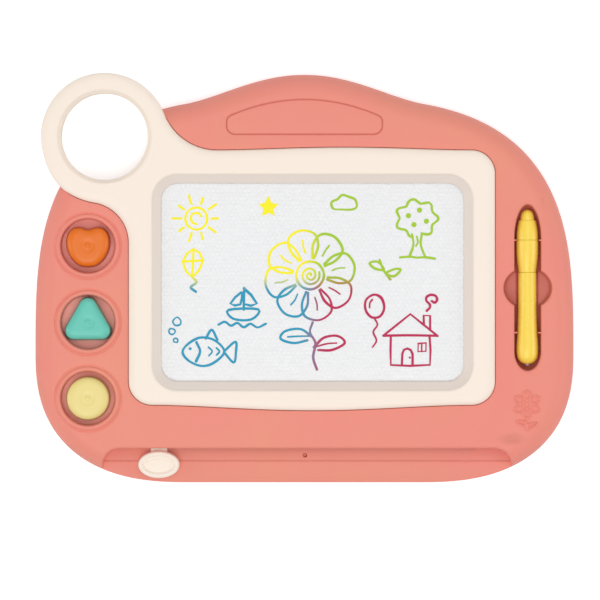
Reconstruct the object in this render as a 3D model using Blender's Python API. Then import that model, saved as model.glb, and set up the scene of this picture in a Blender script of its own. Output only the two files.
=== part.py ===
"""Magnetic drawing board for small children, lying on its back with the screen facing up.

Metres, +Z up, +X along the width, +Y towards the handle. The origin is the middle of the footprint, on the
table. A coral case of two mouldings holds a laminated screen under a cream bezel that runs out into a carrying
ring at one corner. A magnet on a carriage wipes the screen from behind, moved by an oval knob in a channel
along the lower edge. A magnetic pen and three magnetic stamps rest in the front moulding.
"""

import math

import bpy
import numpy as np
from mathutils import Matrix

MM = 0.001

# Plan of the case. The lower corners and the shoulders are quarter superellipses that meet at the widest level.
lower_corner_width = 110 * MM
lower_corner_height = 93.5 * MM
lower_corner_power = 2.47
shoulder_power = 3.14
upper_band = 38.8 * MM
lower_band = 31.2 * MM
hump_rise = 16.4 * MM
hump_half_width = 87 * MM
outline_segments = 54
outline_bend_share = 0.5

# Section of the case
wall = 2.2 * MM
seat_gap = 0.3 * MM
overrun = 3 * MM
far_above = 60 * MM
foot_height = 1.6 * MM
back_depth = 7.4 * MM
front_depth = 17.5 * MM
front_roll_width = 15 * MM
back_roll_width = 9 * MM
lip_thickness = 1.4 * MM
lip_height = 1.8 * MM
back_z = foot_height
parting_z = back_z + back_depth
face_z = parting_z + front_depth

# Screen window, as the bezel shows it
window_width = 218.4 * MM
window_height = 143 * MM
window_corner = 10 * MM

# Bezel: a raised cream frame round the window
bezel_left_border = 23.4 * MM
bezel_right_border = 22.4 * MM
bezel_top_border = 23.8 * MM
bezel_bottom_border = 17 * MM
bezel_top_bow = 2 * MM
bezel_bottom_bow = 3.9 * MM
bezel_corner = 17 * MM
bezel_rise = 3.5 * MM
bezel_wall = 2 * MM
bezel_shoulder_width = 6.5 * MM
bezel_shoulder_drop = 3.4 * MM
bezel_slope_width = 7.2 * MM
bezel_brow_width = 1.3 * MM
bezel_brow_drop = 1.6 * MM
bezel_lip = 1.2 * MM
bezel_slope_wall = 3 * MM
bezel_seam = 0.35 * MM
rebate_depth = 3.3 * MM
bezel_segments = 74
bezel_bend_share = 0.65
bezel_z = face_z + bezel_rise
rebate_z = face_z - rebate_depth

# Stamps
stamp_radius = 16.1 * MM
stamp_protrusion = 4.6 * MM
stamp_foot_chamfer = 0.6 * MM
stamp_edge_roll = 2.4 * MM
stamp_crown = 0.9 * MM
stamp_draft = 0.5 * MM
stamp_magnet_thickness = 1.4 * MM
stamp_rim = 1.8 * MM
stamp_pip_radius = 4.8 * MM
stamp_pip_height = 0.7 * MM
heart_height = 29.2 * MM
heart_shift = -0.8 * MM
triangle_corner = 5.7 * MM
triangle_shift = -0.3 * MM
triangle_gap = 0.5 * MM

# Half of the heart, from the dip between its lobes round to its foot, as shares of half width and height
heart_shares = [
    (0.0, 0.95),
    (0.24, 0.985),
    (0.44, 1.0),
    (0.66, 0.975),
    (0.85, 0.89),
    (0.97, 0.75),
    (1.0, 0.6),
    (0.96, 0.44),
    (0.85, 0.29),
    (0.67, 0.15),
    (0.42, 0.04),
    (0.18, 0.0),
]

# Stamp wells down the left side
well_gap = 3 * MM
well_depth = 8.5 * MM
well_floor_fillet = 0.8 * MM
rim_width = 5.2 * MM
rim_height = 1.1 * MM
well_edge_margin = 14.5 * MM
well_bezel_gap = 5.1 * MM
ring_to_well = 78.8 * MM
last_well_height = 61.2 * MM
well_count = 3
lobe_lift = 2 * MM
well_segments = 20
well_radius = stamp_radius + well_gap
triangle_reach = well_radius - triangle_gap
well_floor_z = face_z - well_depth
stamp_bottom_z = well_floor_z + seat_gap
stamp_top_z = face_z + stamp_protrusion

# Pen, lying along Y in its trough
pen_length = 113 * MM
pen_radius = 8 * MM
pen_axis_below_face = 7 * MM
pen_below_window_middle = 3.9 * MM
pen_segments = 16
pen_axis_z = face_z - pen_axis_below_face

# Shares of the pen's length from its tail, and of its greatest radius, at each change of its profile
pen_shares = [
    (0.0, 0.2),
    (0.018, 0.46),
    (0.068, 0.62),
    (0.072, 0.77),
    (0.12, 0.89),
    (0.196, 0.985),
    (0.25, 1.0),
    (0.32, 0.95),
    (0.40, 0.79),
    (0.404, 0.82),
    (0.6, 0.82),
    (0.787, 0.9),
    (0.87, 0.99),
    (0.93, 0.92),
    (0.962, 0.72),
    (0.985, 0.42),
    (0.994, 0.24),
]
pen_cap_end_share = 0.196
pen_grip_end_share = 0.402
rib_shares = (0.196, 0.787)
spigot_start_share = 0.1
spigot_share = 0.5
nib_share = 0.2
nib_bore_start_share = 0.93

# Pen trough
trough_side_gap = 1.6 * MM
trough_floor_gap = 0.8 * MM
trough_end_gap = 3.4 * MM
trough_taper_length = 24 * MM
trough_round_length = 14 * MM
trough_end_shares = (0.15, 0.5, 1)
trough_rib_thickness = 1 * MM
trough_rib_below_face = 1.2 * MM
trough_edge_margin = 24.4 * MM
trough_bezel_gap = 14 * MM
finger_half_width = 17.4 * MM
finger_half_length = 14.9 * MM
finger_depth = 11.5 * MM
trough_half_width = pen_radius + trough_side_gap
trough_depth = pen_radius + trough_floor_gap

# Carrying ring at the upper left corner
ring_left_of_window = 40.8 * MM
ring_above_window = 33.6 * MM
ring_radius = 46 * MM
ring_hole_radius = 31.2 * MM
ring_hole_bevel = 2.8 * MM
ring_hole_bevel_depth = 3.2 * MM
ring_thickness = 19 * MM
ring_front_depth = 9.5 * MM
ring_edge_roll = 4 * MM
ring_neck_fillet = 41 * MM
ring_groove_wall = 3 * MM
ring_heel_gap = 1.8 * MM
ring_segments = 30
ring_split_z = bezel_z - ring_front_depth
ring_back_z = bezel_z - ring_thickness

# Laminated screen in its pocket under the bezel
screen_edge_inset = 11.1 * MM
screen_end_margin = 6.5 * MM
screen_sheet = 0.5 * MM
screen_core = 1.6 * MM
screen_corner = 14 * MM
ledge_width = 2.5 * MM
ledge_corner = 6 * MM
ledge_thickness = 1.8 * MM
screen_side_margin = min(bezel_left_border, bezel_right_border) - screen_edge_inset
screen_top_z = rebate_z
screen_bottom_z = screen_top_z - 2 * screen_sheet - screen_core - 2 * seat_gap
ledge_z = screen_bottom_z - seat_gap

# Eraser knob, and the shelf along the lower edge that it runs over
knob_width = 30 * MM
knob_length = 19.6 * MM
knob_edge_gap = 3.5 * MM
knob_wall_gap = 2.1 * MM
knob_floor_gap = 0.9 * MM
knob_height = 7.4 * MM
knob_edge_roll = 1.8 * MM
knob_rim_width = 4.4 * MM
knob_dish_depth = 1.6 * MM
tongue_width = 12 * MM
tongue_play = 0.5 * MM
tongue_reach = 9 * MM
channel_shelf = knob_edge_gap + knob_length + knob_wall_gap

# Across the board: the stamps' column, the bezel with its window, and the pen's column
stamp_column = well_edge_margin + 2 * (rim_width + well_radius) + well_bezel_gap
pen_column = trough_edge_margin + 2 * trough_half_width + trough_bezel_gap
bezel_width = bezel_left_border + window_width + bezel_right_border
board_half = (stamp_column + bezel_width + pen_column) / 2
well_x = -board_half + well_edge_margin + rim_width + well_radius
pen_x = board_half - trough_edge_margin - trough_half_width
bezel_left = -board_half + stamp_column
bezel_right = board_half - pen_column
window_left = bezel_left + bezel_left_border
window_right = bezel_right - bezel_right_border
ring_x = window_left - ring_left_of_window

# Up the board, from its lower edge to the top of the ring
window_height_on_board = channel_shelf + lower_band + bezel_bottom_border
footprint_height = window_height_on_board + window_height + ring_above_window + ring_radius
bottom_y = -footprint_height / 2
knob_y = bottom_y + knob_edge_gap + knob_length / 2
channel_wall_y = bottom_y + channel_shelf
window_bottom = bottom_y + window_height_on_board
window_top = window_bottom + window_height
bezel_bottom = window_bottom - bezel_bottom_border
bezel_top = window_top + bezel_top_border
shoulder_top = bezel_top + upper_band
widest_level = bottom_y + lower_corner_height
ring_y = window_top + ring_above_window
first_well_y = ring_y - ring_to_well
last_well_y = bottom_y + last_well_height
pen_middle_y = (window_bottom + window_top) / 2 - pen_below_window_middle
pen_tail_y = pen_middle_y + pen_length / 2
pen_tip_y = pen_middle_y - pen_length / 2
finger_y = pen_middle_y - seat_gap

# Eraser carriage behind the screen
eraser_bar_width = 12 * MM
eraser_bar_thickness = 2.2 * MM
eraser_magnet_width = 6 * MM
eraser_magnet_thickness = 2 * MM
eraser_lip_width = 1.2 * MM
eraser_lip_height = 1.3 * MM
eraser_ledge_gap = 2.5 * MM
eraser_end_play = 3 * MM
eraser_below_ledge = 0.8 * MM
eraser_tail = 1 * MM
eraser_key_setback = 12 * MM
eraser_key_length = 26 * MM
eraser_key_width = 3.2 * MM
eraser_key_depth = 2.6 * MM
eraser_foot_width = 22 * MM
eraser_foot_length = 15 * MM
rail_rib = 2 * MM
rail_play = 0.4 * MM
rail_end_play = 2.5 * MM
eraser_half_span = eraser_magnet_width / 2 + seat_gap + eraser_lip_width
eraser_park = screen_side_margin - ledge_width - eraser_ledge_gap - eraser_half_span
eraser_rest_x = window_left - eraser_park
eraser_far_x = window_right + eraser_park
eraser_bar_top_z = ledge_z - ledge_thickness - eraser_below_ledge
eraser_bar_z = eraser_bar_top_z - eraser_bar_thickness

# Eraser channel along the lower edge
channel_floor_width = 9.3 * MM
channel_left_end = 24.3 * MM
channel_right_end = 16.4 * MM
channel_corner = 13 * MM
channel_flare = 7 * MM
channel_edge_depth = 3 * MM
knob_z = eraser_bar_z
channel_floor_z = knob_z - knob_floor_gap
channel_left = eraser_rest_x - knob_width / 2 - channel_left_end
channel_right = eraser_far_x + knob_width / 2 + channel_right_end

# Shallow thumb panel on the handle hump
panel_half_width = 56.2 * MM
panel_above_bezel = 11.5 * MM
panel_below_roll = 3.6 * MM
panel_end_share = 0.49
panel_corner_share = 0.455
panel_depth = 0.8 * MM
panel_bottom_y = bezel_top + panel_above_bezel
panel_top_y = shoulder_top + hump_rise - front_roll_width - panel_below_roll

# Screws. Each passes through one moulding and bites in a post of the other.
screw_head_radius = 2.8 * MM
screw_head_height = 1.9 * MM
screw_shank_radius = 1.3 * MM
screw_segments = 8
case_screw_length = 8.4 * MM
post_radius = 3.8 * MM
pilot_clearance = 0.3 * MM
counterbore_depth = 3 * MM
counterbore_wall = 1.6 * MM
bezel_screw_length = 6 * MM
bezel_post_radius = 3 * MM
bezel_screw_gap = 0.4 * MM
bezel_screw_end_inset = 16.5 * MM
bezel_screw_inset = screen_edge_inset - seat_gap - wall - bezel_screw_gap - bezel_post_radius
ring_screw_count = 3
ring_screw_length = 11 * MM
eraser_screw_length = 3.6 * MM

# Places of the case screws, set back from what stands near them
well_screw_setback = 22 * MM
corner_screw_gap = 4.5 * MM
corner_screw_above_channel = 13.5 * MM
pen_screw_setback = 15 * MM
pen_tip_screw_shift = 9 * MM
hump_screw_ring_gap = 12.2 * MM
hump_screw_above_bezel = 17 * MM
channel_screw_setback = 5.4 * MM

# Feet under the back cover
foot_radius = 8 * MM
foot_side_inset = 57 * MM
foot_end_inset = 60 * MM
foot_ring_gap = 2 * MM


def material(name, colour, roughness, metallic=0.0):
    """A Principled material with one colour."""
    made = bpy.data.materials.new(name)
    made.use_nodes = True
    shader = made.node_tree.nodes["Principled BSDF"]
    shader.inputs["Base Color"].default_value = (*colour, 1.0)
    shader.inputs["Roughness"].default_value = roughness
    shader.inputs["Metallic"].default_value = metallic
    return made


def new_object(name, points, faces, finish=None):
    """A mesh object in the scene."""
    mesh = bpy.data.meshes.new(name)
    mesh.from_pydata([tuple(p) for p in points], [], faces)
    mesh.validate()
    made = bpy.data.objects.new(name, mesh)
    bpy.context.scene.collection.objects.link(made)
    if finish:
        mesh.materials.append(finish)
    return made


def loft(name, rings, finish=None):
    """A closed body through rings of equally many points, each ring running anticlockwise seen from the last."""
    count = len(rings[0])
    points = np.concatenate(rings)
    faces = [list(range(count))[::-1]]
    for level in range(len(rings) - 1):
        low = level * count
        for i in range(count):
            j = (i + 1) % count
            faces.append([low + i, low + j, low + count + j, low + count + i])
    top = (len(rings) - 1) * count
    faces.append([top + i for i in range(count)])
    return new_object(name, points, faces, finish)


def at_height(outline, z):
    """A plan outline as points at height z."""
    return np.column_stack([outline, np.full(len(outline), z)])


def prism(name, outline, low, high, finish=None):
    return loft(name, [at_height(outline, low), at_height(outline, high)], finish)


def box(name, low, high, finish=None):
    corners = np.array([(low[0], low[1]), (high[0], low[1]), (high[0], high[1]), (low[0], high[1])])
    return prism(name, corners, low[2], high[2], finish)


def circle(x, y, radius, segments):
    angles = 2 * math.pi * np.arange(segments) / segments
    return np.column_stack([x + radius * np.cos(angles), y + radius * np.sin(angles)])


def disc(name, place, radius, low, high, segments, finish=None):
    return prism(name, circle(*place, radius, segments), low, high, finish)


def turned(name, place, profile, segments, finish=None):
    """A body turned about a vertical axis at place: profile is (radius, height) from the bottom up."""
    return loft(name, [at_height(circle(*place, r, segments), z) for r, z in profile], finish)


def turned_ring(name, place, profile, segments, finish=None):
    """A ring turned about a vertical axis: profile is a closed section, anticlockwise with radius to the right."""
    count = len(profile)
    angles = 2 * math.pi * np.arange(segments) / segments
    points = [
        (place[0] + r * math.cos(a), place[1] + r * math.sin(a), z) for a in angles for r, z in profile
    ]
    faces = []
    for i in range(segments):
        this, after = i * count, (i + 1) % segments * count
        for k in range(count):
            n = (k + 1) % count
            faces.append([this + k, after + k, after + n, this + n])
    return new_object(name, points, faces, finish)


def boolean(target, operation, *others):
    """Cuts, joins or intersects target with the others, which become hidden helpers."""
    group = bpy.data.collections.new(f"{target.name}_{operation.lower()}")
    for other in others:
        group.objects.link(other)
        other.hide_render = True
        other.display_type = "WIRE"
    made = target.modifiers.new(operation.lower(), "BOOLEAN")
    made.operation = operation
    made.solver = "EXACT"
    made.operand_type = "COLLECTION"
    made.collection = group
    return target


def cut(target, *others):
    return boolean(target, "DIFFERENCE", *others)


def join(target, *others):
    return boolean(target, "UNION", *others)


def corner_arc(before, corner, after, radius, steps):
    """Points of the arc that rounds a corner between two straight sides."""
    before, corner, after = np.array(before), np.array(corner), np.array(after)
    to_before = (before - corner) / np.linalg.norm(before - corner)
    to_after = (after - corner) / np.linalg.norm(after - corner)
    half = math.acos(np.clip(to_before @ to_after, -1, 1)) / 2
    middle = (to_before + to_after) / np.linalg.norm(to_before + to_after)
    centre = corner + middle * radius / math.sin(half)
    start = corner + to_before * radius / math.tan(half) - centre
    turn = math.pi - 2 * half
    sign = 1 if np.cross(to_after, to_before) > 0 else -1
    found = []
    for i in range(steps + 1):
        a = sign * turn * i / steps
        c, s = math.cos(a), math.sin(a)
        found.append(centre + (c * start[0] - s * start[1], s * start[0] + c * start[1]))
    return found


def rounded(corners, radii, steps=5):
    """A closed outline through corners, each rounded by its radius. A radius of zero leaves a plain point."""
    found = []
    for i, (corner, radius) in enumerate(zip(corners, radii)):
        if radius:
            found += corner_arc(corners[i - 1], corner, corners[(i + 1) % len(corners)], radius, steps)
        else:
            found.append(np.array(corner))
    return np.array(found)


def rounded_rectangle(left, bottom, right, top, radius, steps=5):
    corners = [(left, bottom), (right, bottom), (right, top), (left, top)]
    return rounded(corners, [radius] * len(corners), steps)


def resampled(points, count, bend_share=0.0):
    """The closed curve through points, as count points. A higher bend share puts more of them where it bends."""
    apart = np.linalg.norm(points - np.roll(points, 1, axis=0), axis=1) > seat_gap / 10
    closed = np.vstack([points[apart], points[apart][:1]])
    steps = np.diff(closed, axis=0)
    lengths = np.linalg.norm(steps, axis=1)
    headings = np.arctan2(steps[:, 1], steps[:, 0])
    bends = np.abs((np.diff(headings, append=headings[:1]) + math.pi) % (2 * math.pi) - math.pi)
    bends = (bends + np.roll(bends, 1)) / 2
    measure = (1 - bend_share) * lengths / lengths.sum() + bend_share * bends / bends.sum()
    along = np.concatenate([[0], np.cumsum(measure)])
    wanted = np.linspace(0, along[-1], count, endpoint=False)
    return np.column_stack([np.interp(wanted, along, closed[:, k]) for k in (0, 1)])


def inward(outline, distance):
    """An anticlockwise outline moved inwards by distance, square to its sides."""
    run = np.roll(outline, -1, axis=0) - outline
    run /= np.linalg.norm(run, axis=1)[:, None]
    normals = np.column_stack([-run[:, 1], run[:, 0]])
    middle = normals + np.roll(normals, 1, axis=0)
    middle /= np.linalg.norm(middle, axis=1)[:, None]
    spread = np.sum(middle * normals, axis=1)
    return outline + distance * middle / spread[:, None]


def smooth_step(share):
    share = np.clip(share, 0, 1)
    return share * share * (3 - 2 * share)


def soft_bow(share):
    """A bow from 0 at share -1 and 1 to 1 at share 0, level at both ends."""
    return np.maximum(0, 1 - share**2) ** 2


def quarter_roll(steps):
    """Shares (inward, upward) of a quarter ellipse from an upright side to a level face."""
    angles = [math.pi / 2 * i / steps for i in range(steps + 1)]
    return [(1 - math.cos(a), math.sin(a)) for a in angles]


def case_outline():
    """Plan of the case: a flat bottom, superellipse corners and shoulders, and the handle hump on top."""
    fine = 400
    angle = np.linspace(0, math.pi / 2, fine)
    corner_x = board_half - lower_corner_width * (1 - np.sin(angle) ** (2 / lower_corner_power))
    corner_y = widest_level - lower_corner_height * np.cos(angle) ** (2 / lower_corner_power)
    shoulder_x = board_half * np.cos(angle) ** (2 / shoulder_power)
    shoulder_y = widest_level + (shoulder_top - widest_level) * np.sin(angle) ** (2 / shoulder_power)
    shoulder_y += hump_rise * soft_bow(np.minimum(1, shoulder_x / hump_half_width))
    right = np.column_stack([np.concatenate([corner_x, shoulder_x[1:]]), np.concatenate([corner_y, shoulder_y[1:]])])
    left = right[::-1][1:] * (-1, 1)
    return resampled(np.vstack([right, left]), outline_segments, outline_bend_share)


def bezel_edge(x, low, high, level, bow):
    """Points of a nearly straight bezel edge that bows outwards between low and high."""
    share = (x - (low + high) / 2) / ((high - low) / 2)
    return np.column_stack([x, level + bow * soft_bow(share)])


def arc(x, y, radius, start, end, steps=24):
    angles = np.linspace(start, end, steps)
    return np.column_stack([x + radius * np.cos(angles), y + radius * np.sin(angles)])


def bezel_outline():
    """Plan of the bezel and the ring in one anticlockwise outline, with the neck's two seams between them."""
    neck_level = bezel_top + ring_neck_fillet
    neck_x = ring_x + math.sqrt((ring_radius + ring_neck_fillet) ** 2 - (neck_level - ring_y) ** 2)
    ring_start = math.atan2(neck_level - ring_y, neck_x - ring_x)
    lobe_y = first_well_y + lobe_lift
    lobe_radius = bezel_left - well_x
    lobe_distance = math.hypot(well_x - ring_x, lobe_y - ring_y)
    lobe_angle = math.atan2(lobe_y - ring_y, well_x - ring_x) + 2 * math.pi
    seam_radius = lobe_distance - lobe_radius
    ring_angles = np.linspace(ring_start, lobe_angle, 160)
    growth = smooth_step((ring_angles - math.radians(190)) / math.radians(45))
    ring_radii = ring_radius + (seam_radius - ring_radius) * growth
    top_right, top_left = bezel_right - bezel_corner, neck_x
    bottom_left, bottom_right = bezel_left + bezel_corner, bezel_right - bezel_corner
    pieces = [
        arc(top_right, bezel_top - bezel_corner, bezel_corner, 0, math.pi / 2),
        bezel_edge(np.linspace(top_right, top_left, 60), top_left, top_right, bezel_top, bezel_top_bow),
        arc(neck_x, neck_level, ring_neck_fillet, 1.5 * math.pi, ring_start + math.pi),
        np.column_stack([ring_x + ring_radii * np.cos(ring_angles), ring_y + ring_radii * np.sin(ring_angles)]),
        arc(well_x, lobe_y, lobe_radius, lobe_angle - math.pi, 0),
        arc(bottom_left, bezel_bottom + bezel_corner, bezel_corner, math.pi, 1.5 * math.pi),
        bezel_edge(
            np.linspace(bottom_left, bottom_right, 60), bottom_left, bottom_right, bezel_bottom, -bezel_bottom_bow
        ),
        arc(bottom_right, bezel_bottom + bezel_corner, bezel_corner, 1.5 * math.pi, 2 * math.pi),
    ]
    return resampled(np.vstack(pieces), bezel_segments, bezel_bend_share)


def window_outline(grown, steps=4):
    """The window's rounded rectangle, grown on every side."""
    return rounded_rectangle(
        window_left - grown,
        window_bottom - grown,
        window_right + grown,
        window_top + grown,
        window_corner + grown,
        steps,
    )


def screen_outline(grown, corner=screen_corner):
    """The screen's rounded rectangle, grown on every side."""
    return rounded_rectangle(
        window_left - screen_side_margin - grown,
        window_bottom - screen_end_margin - grown,
        window_right + screen_side_margin + grown,
        window_top + screen_end_margin + grown,
        corner + grown,
        3,
    )


def ledge_opening():
    """The opening inside the screen's ledge, through which the magnet faces the screen."""
    return screen_outline(-ledge_width, ledge_corner + ledge_width)


def screen_from_ring():
    """The way from the ring's middle to the middle of the screen's nearest corner, and how far that is."""
    corner_x = window_left - screen_side_margin + screen_corner
    corner_y = window_top + screen_end_margin - screen_corner
    along = np.array([corner_x - ring_x, corner_y - ring_y])
    distance = np.linalg.norm(along)
    return along / distance, distance


def ring_heel():
    """How far from its middle the ring is cut straight, clear of the screen's pocket."""
    distance = screen_from_ring()[1]
    return distance - screen_corner - seat_gap - wall - bezel_seam - ring_heel_gap


def ring_plan(radius, heel):
    """The ring's outer circle, cut straight at its heel, where the screen's pocket comes near."""
    along = screen_from_ring()[0]
    outline = circle(0, 0, radius, ring_segments)
    beyond = np.maximum(0, outline @ along - heel)
    return outline - beyond[:, None] * along + (ring_x, ring_y)


def ring_body(name, grown, low, high):
    """The space that the ring's outside fills, grown on every side."""
    return prism(name, ring_plan(ring_radius + grown, ring_heel() + grown), low, high)


def well_places():
    pitch = (first_well_y - last_well_y) / (well_count - 1)
    return [(well_x, first_well_y - i * pitch) for i in range(well_count)]


def case_screw_places():
    """The nine screws that close the case."""
    wells = well_places()
    between = [(well_x - well_screw_setback, (a[1] + b[1]) / 2) for a, b in zip(wells, wells[1:])]
    low = channel_wall_y + corner_screw_above_channel
    high = bezel_top + hump_screw_above_bezel
    past_foot = eraser_foot_width / 2 + post_radius + corner_screw_gap
    past_ring = ring_x + ring_radius + hump_screw_ring_gap
    return [
        *between,
        (eraser_rest_x - past_foot, low),
        (eraser_far_x + past_foot, low),
        (0, channel_wall_y - channel_screw_setback),
        (pen_x + pen_tip_screw_shift, pen_tip_y - pen_screw_setback - trough_end_gap),
        (pen_x, pen_tail_y + pen_screw_setback + trough_end_gap),
        (-past_ring, high),
        (past_ring, high),
    ]


def bezel_screw_places():
    """Two screws up each side of the bezel, and one in the middle of its top and of its bottom."""
    left, right = bezel_left + bezel_screw_inset, bezel_right - bezel_screw_inset
    middle_x = (window_left + window_right) / 2
    low, high = window_bottom + bezel_screw_end_inset, window_top - bezel_screw_end_inset
    return [
        (left, low),
        (left, high),
        (right, low),
        (right, high),
        (middle_x, bezel_top - bezel_screw_inset),
        (middle_x, bezel_bottom - bezel_bottom_bow + bezel_screw_inset),
    ]


def ring_screw_places():
    """The ring's screws, evenly spaced, with the widest space at its heel."""
    middle = (ring_radius + ring_hole_radius) / 2
    along = screen_from_ring()[0]
    away = math.atan2(-along[1], -along[0])
    angles = [away + 2 * math.pi * i / ring_screw_count for i in range(ring_screw_count)]
    return [(ring_x + middle * math.cos(a), ring_y + middle * math.sin(a)) for a in angles]


def trough(name, grown, top):
    """The pen's trough: round-bottomed, with a tapered end at the pen's tail and a round one at its tip."""
    high_end = pen_tail_y + trough_end_gap + grown
    low_end = pen_tip_y - trough_end_gap - grown
    half_width, depth = trough_half_width + grown, trough_depth + grown
    ends = [math.pi / 2 * share for share in trough_end_shares]
    stations = [(low_end + (trough_round_length + grown) * (1 - math.cos(a)), math.sin(a)) for a in ends]
    stations += [(high_end - (trough_taper_length + grown) * (1 - math.cos(a)), math.sin(a)) for a in ends[::-1]]
    rings = []
    for y, share in stations:
        bottom = [math.pi + math.pi * i / 6 for i in range(7)]
        reach = half_width * share
        section = [(pen_x + reach * math.cos(a), y, pen_axis_z + depth * share * math.sin(a)) for a in bottom]
        section += [(pen_x + reach, y, top), (pen_x - reach, y, top)]
        rings.append(np.array(section)[::-1])
    return loft(name, rings)


def channel(name, grown, low=0.0):
    """The space above the eraser channel: its plan, cut below by its floor and the edge that falls away."""
    top_y = channel_wall_y + grown
    outside_y = bottom_y - 4 * overrun
    left, right = channel_left - grown, channel_right + grown
    corners = [
        (left - channel_flare, outside_y),
        (right + channel_flare, outside_y),
        (right, top_y),
        (left, top_y),
    ]
    plan = rounded(corners, [0, 0, channel_corner + grown, channel_corner + grown], 6)
    floor_end = channel_wall_y - channel_floor_width
    fall = bottom_y - floor_end
    floor_shares = [(0, 0), (0.45, 0.1), (0.75, 0.32), (0.92, 0.62), (1.0, 1.0)]
    floor = [(floor_end + fall * a, channel_floor_z - channel_edge_depth * b) for a, b in floor_shares]
    edge = [(outside_y - overrun, floor[-1][1]), (outside_y - overrun, face_z + overrun)]
    section = [(top_y + overrun, face_z + overrun), (top_y + overrun, channel_floor_z), *floor, *edge]
    ends = (left - channel_flare - overrun, right + channel_flare + overrun)
    rings = [np.array([(x, y, z if z > face_z else z - grown - low) for y, z in section]) for x in ends]
    body = loft(name, [ring[::-1] for ring in rings])
    lid = prism(f"{name}_plan", plan, 0, far_above)
    return boolean(body, "INTERSECT", lid)


def panel_outline():
    """The handle's thumb panel: a level lower edge, short ends and one long arc on top."""
    height = panel_top_y - panel_bottom_y
    shoulder = panel_bottom_y + height * panel_end_share
    arc_shares = (0.75, 0.5, 0.25, 0, -0.25, -0.5, -0.75)
    top = [(panel_half_width * s, shoulder + (panel_top_y - shoulder) * (1 - s * s)) for s in arc_shares]
    corners = [
        (-panel_half_width, panel_bottom_y),
        (panel_half_width, panel_bottom_y),
        (panel_half_width, shoulder),
        *top,
        (-panel_half_width, shoulder),
    ]
    corner = panel_corner_share * (shoulder - panel_bottom_y)
    radii = [corner] * 3 + [0] * len(top) + [corner]
    return rounded(corners, radii, 4)


def ellipse(x, y, half_width, half_length, segments):
    return circle(0, 0, 1, segments) * (half_width, half_length) + (x, y)


def front_shell(finish):
    """The coral front moulding: a rolled shell with its wells, trough, channel, rebate, pocket and posts."""
    outline = case_outline()
    bezel = bezel_outline()
    roll = quarter_roll(4)
    outer = [at_height(inward(outline, front_roll_width * i), parting_z + front_depth * u) for i, u in roll]
    shell = loft("front_shell", outer, finish)
    rim_section = [
        (well_radius - rim_width / 4, face_z - rim_height),
        (well_radius + rim_width, face_z - rim_height),
        (well_radius + rim_width, face_z),
        (well_radius + rim_width * 0.6, face_z + rim_height * 0.8),
        (well_radius + rim_width * 0.3, face_z + rim_height),
        (well_radius - rim_width / 4, face_z + rim_height * 0.5),
    ]
    rims = [turned_ring(f"rim_{i}", place, rim_section, well_segments) for i, place in enumerate(well_places())]
    join(shell, *rims)

    inner_depth = front_depth - wall
    inner_start = lip_height + seat_gap
    inner = [at_height(inward(outline, wall), parting_z - overrun)]
    inner += [
        at_height(
            inward(outline, wall + (front_roll_width - wall) * i),
            parting_z + inner_start + (inner_depth - inner_start) * u,
        )
        for i, u in quarter_roll(2)
    ]
    hollow = loft("front_hollow", inner)
    kept = [
        prism("rebate_floor", inward(bezel, -bezel_seam - wall), rebate_z - wall, far_above),
        prism("pocket_wall", screen_outline(seat_gap + wall), ledge_z - ledge_thickness, far_above),
        ring_body("ring_bay_wall", bezel_seam + wall, -overrun, far_above),
        trough("trough_wall", wall, far_above),
        prism(
            "finger_wall",
            ellipse(pen_x, finger_y, finger_half_width + wall, finger_half_length + wall, 20),
            face_z - finger_depth - wall,
            far_above,
        ),
        channel("channel_wall", wall),
    ]
    for i, place in enumerate(well_places()):
        kept.append(
            disc(f"well_cup_{i}", place, well_radius + wall, well_floor_z - wall, far_above, well_segments)
        )
    for i, place in enumerate(case_screw_places()):
        kept.append(disc(f"front_post_{i}", place, post_radius, parting_z + seat_gap, far_above, screw_segments))
    cut(hollow, *kept)
    cut(shell, hollow)

    well_profile = [
        (well_radius - well_floor_fillet, well_floor_z),
        (well_radius, well_floor_z + well_floor_fillet),
        (well_radius, face_z + overrun),
    ]
    pen_trough = trough("trough_space", 0, face_z + overrun)
    cut(pen_trough, *trough_ribs())
    voids = [
        prism("rebate", inward(bezel, -bezel_seam), rebate_z, far_above),
        prism("pocket", screen_outline(seat_gap), ledge_z, far_above),
        prism("pocket_opening", ledge_opening(), parting_z, far_above),
        ring_body("ring_bay", bezel_seam, -overrun, far_above),
        pen_trough,
        prism(
            "finger_hollow",
            ellipse(pen_x, finger_y, finger_half_width, finger_half_length, 20),
            face_z - finger_depth,
            face_z + overrun,
        ),
        channel("channel_space", 0),
        prism("thumb_panel", panel_outline(), face_z - panel_depth, face_z + overrun),
        tongue_slot(),
    ]
    for i, place in enumerate(well_places()):
        voids.append(turned(f"well_{i}", place, well_profile, well_segments))
    pilot_radius = screw_shank_radius + pilot_clearance
    for i, place in enumerate(case_screw_places()):
        top = screw_shank_top_z() + seat_gap
        if place[1] < channel_wall_y:
            top = channel_floor_z + overrun
        voids.append(disc(f"pilot_{i}", place, pilot_radius, parting_z - overrun, top, screw_segments))
    for i, place in enumerate(bezel_screw_places()):
        voids.append(
            disc(f"bezel_hole_{i}", place, pilot_radius, rebate_z - wall - overrun, far_above, screw_segments)
        )
    return cut(shell, *voids)


def rib_places():
    """The two saddle ribs: under the widest part of the grip, and where the barrel starts to swell."""
    return [pen_tail_y - pen_length * share for share in rib_shares]


def pen_radius_at(y):
    """The pen's radius at y, read from its profile."""
    profile = [(pen_tail_y - pen_length * a, pen_radius * b) for a, b in pen_shares]
    ys, radii = zip(*profile[::-1])
    return float(np.interp(y, ys, radii))


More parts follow.
